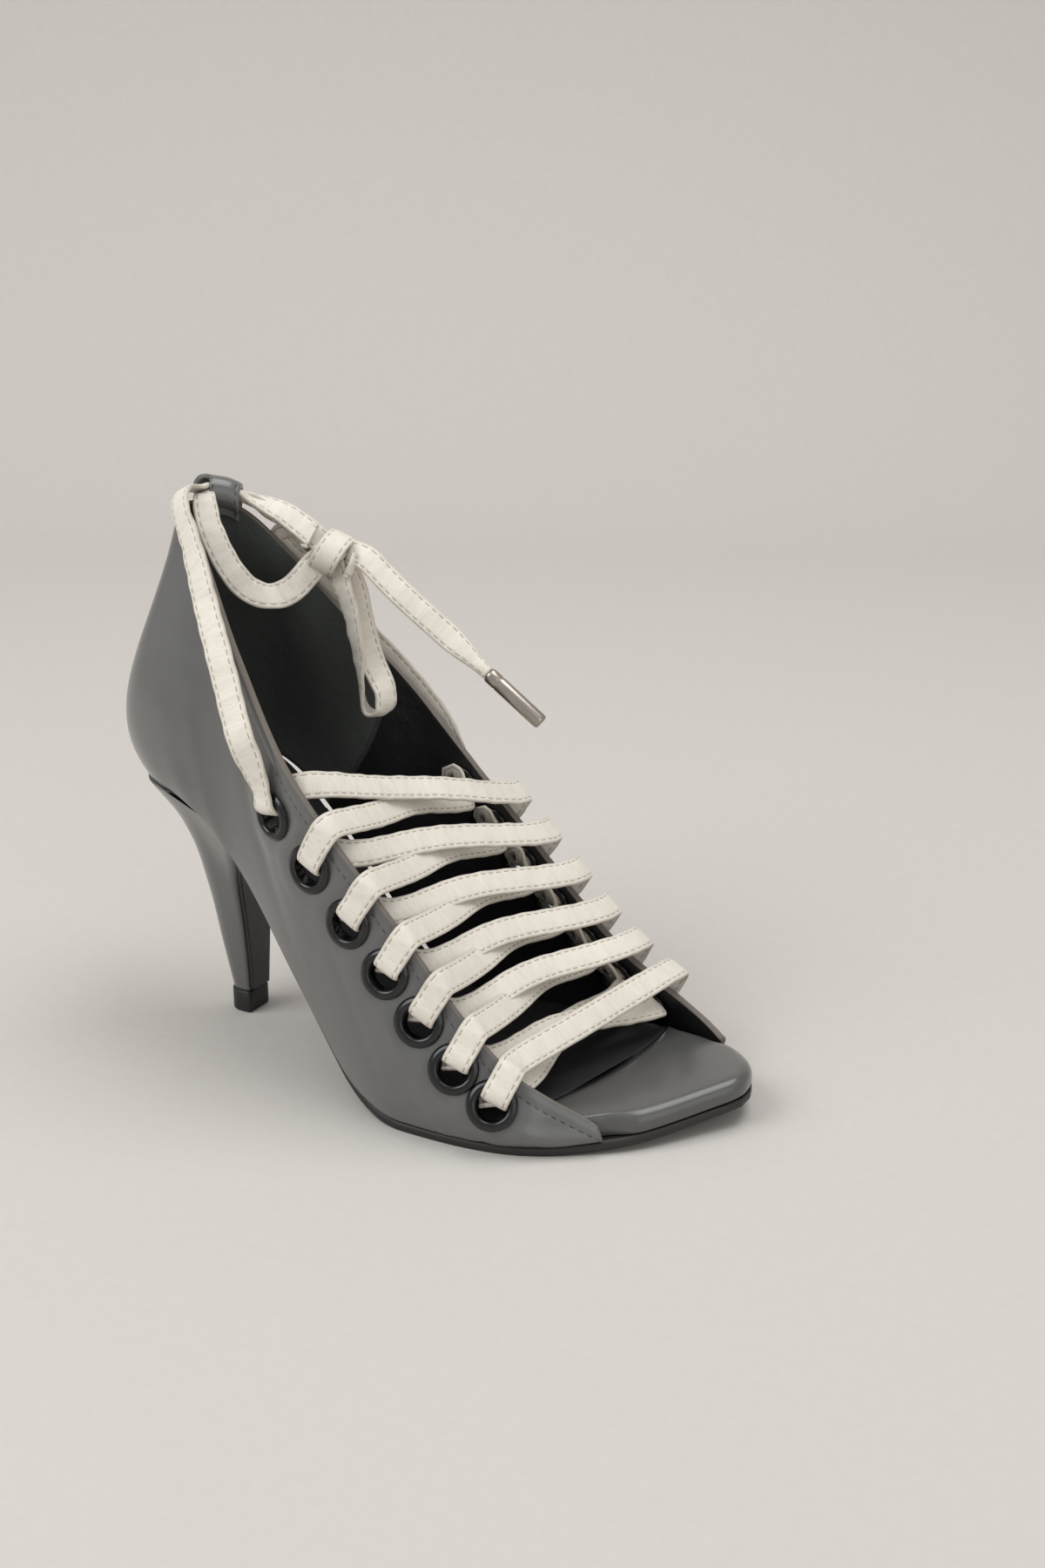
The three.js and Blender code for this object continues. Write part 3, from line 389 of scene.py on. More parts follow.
def make_mesh(name, points, faces, materials, uv=None, index=None, holes=()):
    """One object from points in mm, faces, materials and an optional UV per vertex."""
    mesh = bpy.data.meshes.new(name)
    mesh.from_pydata((np.asarray(points) * MM).tolist(), [], [list(map(int, f)) for f in faces])
    for material in materials:
        mesh.materials.append(material)
    if index is not None:
        mesh.polygons.foreach_set("material_index", np.asarray(index, np.int32))
    mesh.polygons.foreach_set("use_smooth", np.ones(len(mesh.polygons), bool))
    if uv is not None:
        layer = mesh.uv_layers.new(name="run")
        vertex = np.empty(len(mesh.loops), np.int32)
        mesh.loops.foreach_get("vertex_index", vertex)
        layer.data.foreach_set("uv", np.asarray(uv, np.float32)[vertex].ravel())
    mesh.validate()
    turn_outwards(mesh, holes)
    obj = bpy.data.objects.new(name, mesh)
    bpy.context.scene.collection.objects.link(obj)
    return obj


def quads(rows, columns, wrap_rows=False, wrap_columns=False):
    """Faces of a grid of rows by columns, as index quadruples."""
    i = np.arange(rows if wrap_rows else rows - 1)[:, None]
    j = np.arange(columns if wrap_columns else columns - 1)[None, :]
    i2, j2 = (i + 1) % rows, (j + 1) % columns
    grid = np.stack(np.broadcast_arrays(i * columns + j, i2 * columns + j, i2 * columns + j2,
                                        i * columns + j2), -1)
    return grid.reshape(-1, 4)


def closed_tube(rows, columns, base=0):
    """Faces of a tube of rows rings, with a flat face on both ends, from the index base."""
    last = (rows - 1) * columns
    ends = [list(range(columns))[::-1], list(range(last, last + columns))]
    return (quads(rows, columns, wrap_columns=True) + base).tolist() + [[base + k for k in f] for f in ends]


def ring_body(name, rings, material, uv=None, cap=True):
    """Body through closed rings, rows x columns x 3, with flat ends."""
    rows, columns = rings.shape[:2]
    faces = closed_tube(rows, columns) if cap else quads(rows, columns, wrap_columns=True).tolist()
    return make_mesh(name, rings.reshape(-1, 3), faces, [material], uv=uv)


def turned(profile, point, axis, sides=40):
    """Rings of (radius, height) pairs round an axis: point + r (cos a u + sin a v) + h axis."""
    axis = unit(axis)
    side = unit(np.cross(axis, [0.3, 0.9, 0.1]))
    third = np.cross(axis, side)
    a = np.linspace(0, 2 * np.pi, sides, endpoint=False)
    ring = np.cos(a)[:, None] * side + np.sin(a)[:, None] * third
    profile = np.asarray(profile, float)
    return point + profile[:, :1, None] * ring[None] + profile[:, 1:, None] * axis


class Look:
    """Short forms for the nodes of one material"""

    def __init__(self, name):
        self.material = bpy.data.materials.new(name)
        self.material.use_nodes = True
        self.tree = self.material.node_tree
        self.tree.nodes.clear()
        self.coords = self.node("ShaderNodeTexCoord").outputs

    def node(self, kind, **values):
        """New node, with the given inputs and settings."""
        made = self.tree.nodes.new(kind)
        for key, value in values.items():
            if key in made.inputs:
                made.inputs[key].default_value = value
            else:
                setattr(made, key, value)
        return made

    def feed(self, socket, value):
        """Links the socket to another one, or sets it to a number or a colour."""
        if hasattr(value, "links"):
            self.tree.links.new(value, socket)
        else:
            socket.default_value = (*value, 1) if socket.type == "RGBA" else value

    def calc(self, operation, a, b=None, clamp=False):
        """Result of one sum on sockets or numbers."""
        made = self.node("ShaderNodeMath", operation=operation, use_clamp=clamp)
        for socket, value in zip(made.inputs, (a, b)):
            if value is not None:
                self.feed(socket, value)
        return made.outputs[0]

    def plus(self, a, b):
        return self.calc("ADD", a, b)

    def minus(self, a, b, clamp=False):
        return self.calc("SUBTRACT", a, b, clamp)

    def times(self, a, b, clamp=False):
        return self.calc("MULTIPLY", a, b, clamp)

    def away(self, value, centre):
        """Distance of the value from the centre."""
        return self.calc("ABSOLUTE", self.minus(value, centre))

    def within(self, value, centre, reach):
        """1 where the value lies within reach of the centre, else 0."""
        return self.calc("LESS_THAN", self.away(value, centre), reach)

    def groove(self, value, centre, reach):
        """1 at the centre, falling to 0 at reach from it."""
        return self.minus(1.0, self.calc("DIVIDE", self.away(value, centre), reach), True)

    def dashes(self, along, pitch, share):
        """1 on the middle share of each pitch, else 0."""
        return self.within(self.calc("FRACT", self.calc("DIVIDE", along, pitch)), 0.5, share / 2)

    def mix(self, share, low, high):
        """Colour between low and high."""
        made = self.node("ShaderNodeMixRGB")
        for socket, value in zip(made.inputs, (share, low, high)):
            self.feed(socket, value)
        return made.outputs[0]

    def noise(self, scale, detail, place=None, **more):
        """Noise on the piece's own place, or on another."""
        made = self.node("ShaderNodeTexNoise", Scale=scale, Detail=detail, **more)
        self.feed(made.inputs["Vector"], self.coords["Object"] if place is None else place)
        return made.outputs["Fac"]

    def parts(self, vector):
        """x, y and z of a vector."""
        made = self.node("ShaderNodeSeparateXYZ")
        self.feed(made.inputs[0], vector)
        return made.outputs

    def finish(self, colour, roughness, height, strength, distance, **values):
        """Surface of that colour and roughness, with the height as a bump."""
        bump = self.node("ShaderNodeBump", Strength=strength, Distance=distance)
        self.feed(bump.inputs["Height"], height)
        shader = self.node("ShaderNodeBsdfPrincipled")
        for key, value in values.items():
            shader.inputs[key.replace("_", " ")].default_value = value
        self.feed(shader.inputs["Base Color"], colour)
        self.feed(shader.inputs["Roughness"], roughness)
        self.feed(shader.inputs["Normal"], bump.outputs[0])
        out = self.node("ShaderNodeOutputMaterial")
        self.feed(out.inputs[0], shader.outputs[0])
        return self.material


def toned(colour, factor):
    """Colour made lighter or darker by a factor."""
    return [min(v * factor, 1) for v in colour]


def leather(name, colour, stitched=False):
    """Smooth leather: fine grain, faint clouding, and one row of stitch holes near an edge whose
    way along and distance from it, in mm, are the UV."""
    look = Look(name)
    smudge = look.noise(130.0, 5.0)
    height = look.plus(look.times(look.noise(1500.0, 3.0), 0.12), look.times(look.noise(45.0, 3.0), 3.0))
    tint = look.mix(smudge, toned(colour, 0.93), toned(colour, 1.09))
    if stitched:
        uv = look.parts(look.coords["UV"])
        hole = look.times(look.dashes(uv["X"], sizes().stitch, 0.52), look.within(uv["Y"], STITCH_IN, 0.28))
        height = look.minus(height, look.times(look.groove(uv["Y"], STITCH_IN, 0.9), 0.35))
        height = look.minus(height, look.times(hole, 0.6))
        tint = look.mix(hole, tint, toned(colour, 0.3))
    rough = look.plus(0.25, look.times(smudge, 0.1))
    return look.finish(tint, rough, height, 0.28, 0.0004, Coat_Weight=0.5, Coat_Roughness=0.2,
                       Specular_IOR_Level=0.5, IOR=1.48)


def plain(name, colour, roughness, grain=400.0, depth=0.25, metallic=0.0, coat=0.0, spread=0.12):
    """One colour with a noise in its tone and a fine bump."""
    look = Look(name)
    fine = look.noise(grain, 4.0)
    tint = look.mix(fine, [v * (1 - spread) for v in colour], [v * (1 + spread) for v in colour])
    return look.finish(tint, roughness, fine, depth, 0.0003, Metallic=metallic, Coat_Weight=coat,
                       Coat_Roughness=0.15)


def lining(name):
    """Black lining that turns into a suede grip patch round the heel: the patch ends on an
    ellipse in x and z. Fine folds lie all over the lining."""
    look = Look(name)
    where = look.parts(look.coords["Object"])
    squares = []
    for axis, centre, radius in (("X", -0.012, 0.047), ("Z", 0.112, 0.06)):
        way = look.calc("DIVIDE", look.minus(where[axis], centre), radius)
        squares.append(look.times(way, way))
    reach = look.plus(*squares)
    patch = look.calc("LESS_THAN", reach, 1.0)
    tint = look.mix(patch, colours().lining, colours().suede)
    tint = look.mix(look.within(reach, 1.0, 0.03), tint, PATCH_RIM)
    height = look.plus(look.times(look.noise(70.0, 4.0), 4.0), look.times(look.noise(900.0, 2.0), 0.4))
    rough = look.plus(0.42, look.times(patch, 0.5))
    return look.finish(tint, rough, height, 0.45, 0.0006, Specular_IOR_Level=0.4)


def lace_material(name):
    """Cream leather strip. The UV holds the way along and across in mm: a dashed thread runs
    near both edges, the edges are soiled and fine creases lie across."""
    look, c = Look(name), colours()
    uv = look.parts(look.coords["UV"])
    half = sizes().lace_width / 2
    seam_at = half - 1.15
    side = look.calc("ABSOLUTE", uv["Y"])
    thread = look.times(look.dashes(uv["X"], 2.7, 0.6), look.within(side, seam_at, 0.17))
    edge = look.calc("POWER", look.calc("DIVIDE", side, half), 9.0)
    stretch = look.node("ShaderNodeCombineXYZ")
    look.feed(stretch.inputs["X"], uv["X"])
    look.feed(stretch.inputs["Y"], look.times(uv["Y"], 0.3))
    crease = look.noise(0.8, 4.0, stretch.outputs[0], Roughness=0.62)
    tint = look.mix(look.noise(60.0, 3.0), toned(c.lace, 0.88), toned(c.lace, 1.08))
    tint = look.mix(look.times(look.minus(0.52, crease, True), 0.9, True), tint, WORN_LACE)
    tint = look.mix(look.times(edge, 0.5, True), tint, SOILED_EDGE)
    tint = look.mix(thread, tint, c.thread)
    height = look.plus(look.times(crease, 0.75), look.times(look.noise(1300.0, 2.0), 0.15))
    height = look.minus(height, look.times(look.groove(side, seam_at, 0.6), 0.5))
    height = look.plus(height, look.times(thread, 0.45))
    return look.finish(tint, 0.52, height, 0.5, 0.0005, Specular_IOR_Level=0.35, Coat_Weight=0.06,
                       Coat_Roughness=0.4)


def shared(name, build):
    """The material of that name, made once."""
    return bpy.data.materials.get(name) or build(name)


def grey_leather():
    """Smooth leather of the heel."""
    return shared("grey leather", lambda n: leather(n, colours().leather))


def stitched_leather():
    """Leather with a row of stitches below its edge."""
    return shared("stitched leather", lambda n: leather(n, colours().leather, stitched=True))


def cream_lace():
    """Leather of the lace."""
    return shared("cream lace", lace_material)


def dark_sole():
    """Dyed leather of the outsole."""
    return shared("dark sole", lambda n: plain(n, colours().sole, 0.55, coat=0.1))


def settle(obj, slot_name, *nodes):
    """Puts a finished piece on the shoe's body in place of its solids."""
    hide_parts(*nodes)
    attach(obj, "root")
    return obj


def fold_height(turn, drop, along):
    """Sum of soft troughs and ridges: depth exp(-(u/a)^2 - (v/b)^2) in leaning axes."""
    total = np.zeros(np.broadcast(turn, drop).shape)
    for at, below, length, width, lean, depth in FOLDS:
        centre = np.interp(at, along[0], along[1])
        u0 = np.interp(turn, along[0], along[1]) - centre
        v0 = drop - below
        c, n = math.cos(math.radians(lean)), math.sin(math.radians(lean))
        u, v = c * u0 + n * v0, -n * u0 + c * v0
        total += depth * np.exp(-(u / length) ** 2 - (v / width) ** 2)
    return total


class SHOE_OT_upper(bpy.types.Operator):
    """Upper: one skin swept round the sole, with rolled edges, eyelet holes and soft folds"""
    bl_idname = "shoe.upper"
    bl_label = "Upper"

    def execute(self, context):
        s = sizes()
        turns = np.linspace(-TURN_OUTER, TURN_INNER, 520)
        rises = 1 - np.linspace(0, 1, 96) ** 1.15
        t, r = np.meshgrid(turns, rises, indexing="ij")
        skin, normal = wall_point(t, r), wall_normal(t, r)
        drop = np.cumsum(np.linalg.norm(np.diff(skin, axis=1), axis=2), axis=1)
        drop = np.concatenate([np.zeros((len(turns), 1)), drop], axis=1)
        run = way_along(top_edge(turns))
        height = fold_height(t, drop, (turns, run)) * smooth(drop, 1, 7)
        rows = eyelet_rows()
        spots = rows["l"] + rows["m"]
        for p in spots:
            away = np.linalg.norm(skin - p["point"], axis=-1)
            height *= 1 - 0.9 * np.exp(-(away / 8.5) ** 4)
            height += 0.3 * np.exp(-((away - 10.5) / 2.6) ** 2)
        height += 0.22 * np.exp(-((drop - 2.0) / 1.6) ** 2)
        front = skin + normal * height[..., None]
        lift = np.array([0.35, 0.72, 0.94, 1.0, 0.94, 0.72, 0.35])
        across = np.array([0.07, 0.2, 0.34, 0.5, 0.66, 0.8, 0.93])
        climb = unit(wall_point(turns, np.ones_like(turns)) - wall_point(turns, 0.96 * np.ones_like(turns)))
        inner_face = skin - normal * s.wall
        a, b = front[:, 0], inner_face[:, 0]
        rim = a[:, None] * (1 - across)[None, :, None] + b[:, None] * across[None, :, None]
        worn = 0.45 + 0.12 * np.sin(run / 3.1) * np.sin(run / 7.3 + 1)
        rim = rim + climb[:, None] * (worn[:, None] * lift[None, :])[..., None]
        inner = inner_face[:, ::2]
        section = np.concatenate([front[:, ::-1], rim, inner], axis=1)
        count = section.shape[1]
        n_front, n_rim = front.shape[1], rim.shape[1]
        uv = np.zeros((len(turns), count, 2))
        uv[..., 0] = run[:, None]
        uv[:, :n_front, 1] = drop[:, ::-1]
        uv[:, n_front + n_rim:, 1] = UNSTITCHED
        faces = quads(len(turns), count, wrap_columns=True)
        column = np.arange(len(faces)) % count
        index = np.where(column < n_front - 1, 0, np.where(column < n_front + n_rim, 1, 2))
        index[column == count - 1] = 2
        points = section.reshape(-1, 3)
        centre = points[faces].mean(axis=1)
        keep = np.ones(len(faces), bool)
        for p in spots:
            gap = centre - p["point"]
            high = gap @ p["normal"]
            reach = np.linalg.norm(gap - high[:, None] * p["normal"], axis=1)
            keep &= ~((reach < HOLE) & (np.abs(high) < 3 * s.wall))
        faces, index = faces[keep].tolist(), index[keep].tolist()
        for row, flip in ((0, True), (len(turns) - 1, False)):
            ring = [row * count + j for j in range(count)]
            faces.append(ring[::-1] if flip else ring)
            index.append(1)
        edge_look = shared("cut edge", lambda n: plain(n, colours().raw_edge, 0.8, 700.0))
        looks = [stitched_leather(), edge_look, shared("lining", lining)]
        obj = make_mesh("upper", points, faces, looks, uv=uv.reshape(-1, 2), index=index,
                        holes=[(p["point"], HOLE + RIM_BAND) for p in spots])
        settle(obj, "grey_leather", "upper")
        return {"FINISHED"}


def seam(y):
    """Line between the insole and the platform: front + bow (1 - ((y - crest) / span)^2)."""
    s = sizes()
    return s.front_edge + SEAM_BOW * (1 - ((y - SEAM_CREST) / SEAM_SPAN) ** 2)


def across_sole(turns, share, inset):
    """Points at turns and shares of the way from the outer to the inner side, in plan."""
    turns, share = np.broadcast_arrays(turns, share)
    ax, ay = outline(-turns)
    bx, by = outline(turns)
    outer = np.stack([ax, ay], -1) - outward(-turns)[..., :2] * inset(ax)[..., None]
    inner = np.stack([bx, by], -1) - outward(turns)[..., :2] * inset(bx)[..., None]
    return outer * (1 - share)[..., None] + inner * share[..., None]


def turn_at_seam(share, inset, gap=0.0):
    """Turn at which a line across the sole meets the seam, found by repeated steps."""
    turn = np.full(np.shape(share), turn_at(sizes().front_edge))
    for _ in range(10):
        turn = turn_at(seam(across_sole(turn, share, inset)[..., 1]) + gap)
    return turn


def plate_points(turn_from, turn_to, inset, low, high, bevel):
    """Plate along the sole: sections across it with rounded sides, from the outline drawn in by
    an inset, between two heights above the underside."""
    share = np.linspace(0, 1, 24)
    way = np.linspace(0, 1, 150)[:, None]
    turns = turn_from + (turn_to(share)[None, :] - turn_from) * way
    plan = across_sole(turns, share[None, :], inset)
    base = underside(plan[..., 0])
    bottom, top = base + low, base + high(plan[..., 0])
    upper = np.concatenate([plan, top[..., None]], -1)
    lower = np.concatenate([plan, bottom[..., None]], -1)
    drawn = bevel * np.minimum(1, (top - bottom) / 3)
    top_in, low_in = upper.copy(), lower.copy()
    sides = []
    for column, way in ((0, outward(-turns[:, 0])), (-1, outward(turns[:, -1]))):
        top_in[:, column] -= way * drawn[:, column][:, None]
        low_in[:, column] -= way * 0.4 * drawn[:, column][:, None]
        a, b = lower[:, column], upper[:, column]
        thick = (top - bottom)[:, column][:, None]
        sides.append([a + UP * 0.25 * thick, 0.5 * (a + b), b - UP * 0.3 * thick])
    left, right = np.stack(sides[0], 1), np.stack(sides[1][::-1], 1)
    return np.concatenate([low_in[:, ::-1], left, top_in, right], axis=1)


def turn_at(x):
    """Turn of the outline at a place along the sole."""
    s = sizes()
    return np.degrees(np.arccos(1 - 2 * (np.asarray(x, float) + s.setback) / s.sole_length))


def footbed(x):
    """Thickness of the footbed, which grows from the arch to the ball."""
    s = sizes()
    return s.insole + (s.footbed - s.insole) * smooth(x, 40, 85)


def waist_inset(x):
    """The outsole is drawn in under the arch."""
    return 1.2 * (1 - smooth(x, 45, 80))


def insole_inset(x):
    """The insole keeps clear of the wall all round."""
    return sizes().wall + 1.9 + 0 * x


class SHOE_OT_sole(bpy.types.Operator):
    """Outsole, insole and the leather wrapped toe platform"""
    bl_idname = "shoe.sole"
    bl_label = "Sole"

    def execute(self, context):
        s = sizes()
        breast = s.tip_depth / 2 + HEEL[5, 2] * s.sole_length
        start = turn_at(breast + 1.2 + 2 * s.gap)
        rings = plate_points(start, lambda k: 176 + 0 * k, waist_inset, 0.0, lambda x: s.outsole + 0 * x, 0.5)
        obj = ring_body("outsole", rings, dark_sole())
        settle(obj, "black_sole", "outsole")
        base = s.outsole + 2 * s.gap
        rings = plate_points(9, lambda k: turn_at_seam(k, insole_inset), insole_inset, base,
                             lambda x: base + footbed(x), 0.8)
        look = shared("insole", lambda n: plain(n, toned(colours().lining, 1.3), 0.72, 500.0, 0.5))
        obj = ring_body("insole", rings, look)
        settle(obj, "black_lining", "insole")
        self.platform(s, base - s.gap, insole_inset)
        return {"FINISHED"}

    def platform(self, s, base, inset):
        """Sections from the outline to the seam, one for each turn round the toe. The edge is a
        bullnose, height = base + footbed h(level), and the top runs on to the seam."""
        ends = [float(turn_at_seam(np.array(k), inset, s.gap)) for k in (0.0, 1.0)]
        tip = 179.8
        turns = np.concatenate([np.linspace(-ends[0], -tip, 110), np.linspace(tip, ends[1], 110)])
        share = np.linspace(0, 1, len(turns)) ** 0.9
        target = across_sole(turn_at_seam(share, inset, s.gap), share, inset)
        level = np.array([0.0, 0.06, 0.18, 0.34, 0.5, 0.64, 0.76, 0.86, 0.94, 0.985, 1.0])
        depth = np.array([0.7, 0.25, 0.05, 0.0, 0.12, 0.45, 0.95, 1.6, 2.45, 3.3, 4.3])
        under = np.where(turns < 0, smooth(-turns, TURN_OUTER + 8, TURN_OUTER + 0.5),
                         smooth(turns, TURN_INNER + 8, TURN_INNER + 0.5))
        x, y = outline(turns)
        foot, way = np.stack([x, y], -1), outward(turns)[:, :2]
        section = []
        for h, d in zip(level, depth):
            drawn = d * (1 - under) + (s.wall + 3 * s.gap + 0.4 * d) * under
            p = foot - way * drawn[:, None]
            p[:, 0] = np.maximum(p[:, 0], seam(p[:, 1]) + s.gap)
            section.append(self.raised(p, base + h * (s.footbed + s.gap)))
        rim = section[-1][:, :2]
        for k in np.linspace(0, 1, 15)[1:]:
            p = rim * (1 - k) + target * k
            dome = 0.5 * np.sin(math.pi * k) - (0.5 if k == 1 else 0.0)
            section.append(self.raised(p, base + s.footbed + s.gap + dome))
        section += [self.raised(target, base + 0.5 * s.footbed), self.raised(target, base)]
        # Painted shade: the platform is covered in the upper's grey leather, made 30% darker here to stand
        # for the darker look of its top
        look = shared("toe leather with painted shade", lambda n: leather(n, toned(colours().leather, 0.7)))
        obj = ring_body("toe_platform", np.stack(section, axis=1), look)
        settle(obj, "grey_leather", "toe_platform")

    def raised(self, plan, height):
        """Points in plan, set at a height above the underside of the sole."""
        return np.concatenate([plan, (underside(plan[:, 0]) + height)[:, None]], -1)


def heel_ring(rise, grow=0.0, around=60):
    """Level section: half an ellipse at the back, straight sides and a flat front."""
    s = sizes()
    back = -(s.tip_depth / 2 + s.sole_length * read(HEEL, 1, rise)) - grow
    front = s.tip_depth / 2 + s.sole_length * read(HEEL, 2, rise) + grow
    half = s.tip_width / 2 + s.ball_width * read(HEEL, 3, rise) + grow
    middle = back + 0.55 * (front - back)
    a = np.radians(np.linspace(90, 270, around))
    ring = np.stack([middle + (middle - back) * np.cos(a), half * np.sin(a)], -1)
    share = np.array([0.35, 0.75, 0.93, 1.0])
    right = np.stack([middle + (front - middle) * share, -half * np.array([1, 0.985, 0.95, 0.87])], -1)
    flat = np.stack([np.full(6, front), np.linspace(-0.87, 0.87, 8)[1:-1] * half], -1)
    left = right[::-1] * np.array([1, -1])
    return np.concatenate([ring, right, flat, left])


def heel_level(x, rise):
    """Height of a heel section, from the rubber tip to the underside of the seat."""
    s = sizes()
    bottom = s.top_piece + s.gap
    return bottom + (underside(x) + s.outsole - bottom) * rise


class SHOE_OT_heel(bpy.types.Operator):
    """Heel, its dark breast flap and the rubber top piece"""
    bl_idname = "shoe.heel"
    bl_label = "Heel"

    def execute(self, context):
        s = sizes()
        seat = heel_ring(1.0)
        rises = np.linspace(0, 1, 90)
        flare = np.clip((8 - seat[:, 0]) / 20, 0, 1)[:, None]
        rings = []
        for r in rises:
            grow = smooth(r, 0.8, 1)
            ring = heel_ring(r)
            ring = ring + unit(ring - FLARE_CENTRE) * FLARE * grow * flare
            rings.append(np.concatenate([ring, heel_level(seat[:, 0], r)[:, None]], -1))
        rings = np.stack(rings)
        settle(ring_body("heel", rings, grey_leather()), "grey_leather", "heel")
        rises = np.linspace(0.01, 0.985, 70)[:, None]
        share = np.linspace(-0.86, 0.86, 24)[None, :]
        x = s.tip_depth / 2 + s.sole_length * read(HEEL, 2, rises)
        half = s.tip_width / 2 + s.ball_width * read(HEEL, 3, rises)
        breast_x = s.tip_depth / 2 + s.sole_length * HEEL[5, 2]
        level = heel_level(breast_x, rises)
        lean = np.where(rises > 0.75, 2.2 * (rises - 0.75), 0)

        def sheet(depth):
            return np.stack(np.broadcast_arrays(x + depth, share * half, level - lean * depth), -1)

        rings = np.concatenate([sheet(s.gap), sheet(s.gap + 1.2)[:, ::-1]], axis=1)
        look = shared("heel breast", lambda n: plain(n, BREAST_BLACK, 0.35, coat=0.2))
        settle(ring_body("heel_breast_flap", rings, look), "black_sole", "heel_breast")
        ring = heel_ring(0.0, 0.5)
        levels = [(0, 0.35), (0.25, 0.1), (0.6, 0), (s.top_piece - 0.4, 0), (s.top_piece, 0.25)]
        centre = ring.mean(axis=0)
        rings = []
        for z, drawn in levels:
            plan = centre + (ring - centre) * (1 - drawn / 4.5)
            rings.append(np.concatenate([plan, np.full((len(ring), 1), z)], -1))
        look = shared("rubber", lambda n: plain(n, RUBBER_BLACK, 0.5))
        settle(ring_body("rubber_tip", np.stack(rings), look), "black_rubber", "top_piece")
        return {"FINISHED"}


def collar_frame(turn):
    """Middle of the collar's edge, the way up the wall and the way out of it."""
    s = sizes()
    edge = behind_wall(turn, 1.0, s.wall / 2)
    climb = unit(edge - behind_wall(turn, 0.9, s.wall / 2))
    return edge, climb, wall_normal(turn, 0.97)


class SHOE_OT_heel_loop(bpy.types.Operator):
    """Pull loop: a strip that straddles the collar and leaves a round tunnel over its edge"""
    bl_idname = "shoe.heel_loop"
    bl_label = "Heel loop"

    def execute(self, context):
        s = sizes()
        half = s.wall / 2 + s.gap + 0.5
        tunnel, leg, thick = 3.6, 12.0, 1.2
        top, tab_end = -0.8, -3.0
        a = np.radians(np.linspace(-30, 210, 40))

        def profile(out):
            first = np.stack([np.full(12, half + out), np.linspace(-leg, top, 12)], -1)
            tab = np.linspace(top, tab_end, 12)
            arch = np.stack([(tunnel + out) * np.cos(a), 0.75 * tunnel + (tunnel + out) * np.sin(a)], -1)
            last = np.stack([np.full(12, -half - out), tab], -1)
            return np.concatenate([first, arch, last])

        section = np.concatenate([profile(thick), profile(0)[::-1]])
        turns = np.linspace(-1, 23, 24)
        rings = []
        for turn in turns:
            edge, climb, away = collar_frame(turn)
            rings.append(edge + section[:, :1] * away + section[:, 1:] * climb)
        rings = np.stack(rings)
        n = len(section) // 2
        way = way_along(rings[:, 30])
        uv = np.zeros(rings.shape[:2] + (2,))
        uv[:, :n, 0] = way_along(section[:n])
        uv[..., 1] = STITCH_IN - 1.3 + np.minimum(way, way[-1] - way)[:, None]
        uv[:, n:, 1] = UNSTITCHED
        obj = ring_body("pull_loop", rings, stitched_leather(), uv=uv.reshape(-1, 2))
        settle(obj, "grey_leather", "heel_loop")
        return {"FINISHED"}


class SHOE_OT_eyelets(bpy.types.Operator):
    """Turned metal eyelets with a rounded flange outside and a rolled back inside"""
    bl_idname = "shoe.eyelets"
    bl_label = "Eyelets"

    def execute(self, context):
        s = sizes()
        look = shared("eyelet metal", lambda n: plain(n, colours().metal, 0.24, 300.0, 0.05, 0.95, 0.3))
        for side, row in eyelet_rows().items():
            for i, p in enumerate(row):
                seat, back = p["seat"], p["back"]
                bore, rim = s.bore, s.eyelet
                profile = [(bore + 0.15, seat - 0.6), (bore, seat + 0.1), (bore + 0.1, seat + 0.6),
                           (bore + 0.5, seat + 0.98), (bore + 1.1, seat + FLANGE), (bore + 1.7, seat + 0.98),
                           (rim - 0.5, seat + 0.62), (rim - 0.1, seat + 0.3), (rim, seat + 0.1),
                           (rim - 0.15, seat), (BARREL, seat), (BARREL, back), (rim - 0.75, back),
                           (rim - 0.7, back - 0.3), (rim - 1.2, back - 0.6), (bore + 0.3, back - 0.6),
                           (bore, back - 0.2)]
                rings = np.swapaxes(turned(profile, p["point"], p["normal"]), 0, 1)
                faces = quads(*rings.shape[:2], wrap_rows=True, wrap_columns=True)
                name = f"eyelet_{side}{i + 1}"
                obj = make_mesh(name + "_ring", rings.reshape(-1, 3), faces, [look])
                settle(obj, "eyelet_metal", name)
        return {"FINISHED"}


def spline(points, step):
    """Natural cubic spline through the points, with chord ^ 0.75 as its knots, resampled every
    step. Returns the places, where each lies counted in stops, and the way along."""
    points = np.asarray(points, float)
    knots = np.concatenate([[0], np.cumsum(np.diff(way_along(points)) ** 0.75)])
    n, h = len(points), np.diff(knots)
    system = np.zeros((n, n))
    right = np.zeros((n, 3))
    system[0, 0] = system[-1, -1] = 1
    k = np.arange(1, n - 1)
    system[k, k - 1], system[k, k], system[k, k + 1] = h[:-1], 2 * (h[:-1] + h[1:]), h[1:]
    slope = np.diff(points, axis=0) / h[:, None]
    right[1:-1] = 6 * np.diff(slope, axis=0)
    second = np.linalg.solve(system, right)
    u = np.linspace(0, knots[-1], 1600)
    i = np.clip(np.searchsorted(knots, u, side="right") - 1, 0, n - 2)
    a, b = (knots[i + 1] - u)[:, None], (u - knots[i])[:, None]
    w = h[i][:, None]
    curve = (second[i] * a ** 3 + second[i + 1] * b ** 3) / (6 * w)
    curve += (points[i] / w - second[i] * w / 6) * a + (points[i + 1] / w - second[i + 1] * w / 6) * b
    way = way_along(curve)
    at = np.linspace(0, way[-1], max(8, int(way[-1] / step)))
    place = np.stack([np.interp(at, way, curve[:, c]) for c in range(3)], -1)
    stop = np.interp(np.interp(at, way, u), knots, np.arange(n))
    return place, stop, at


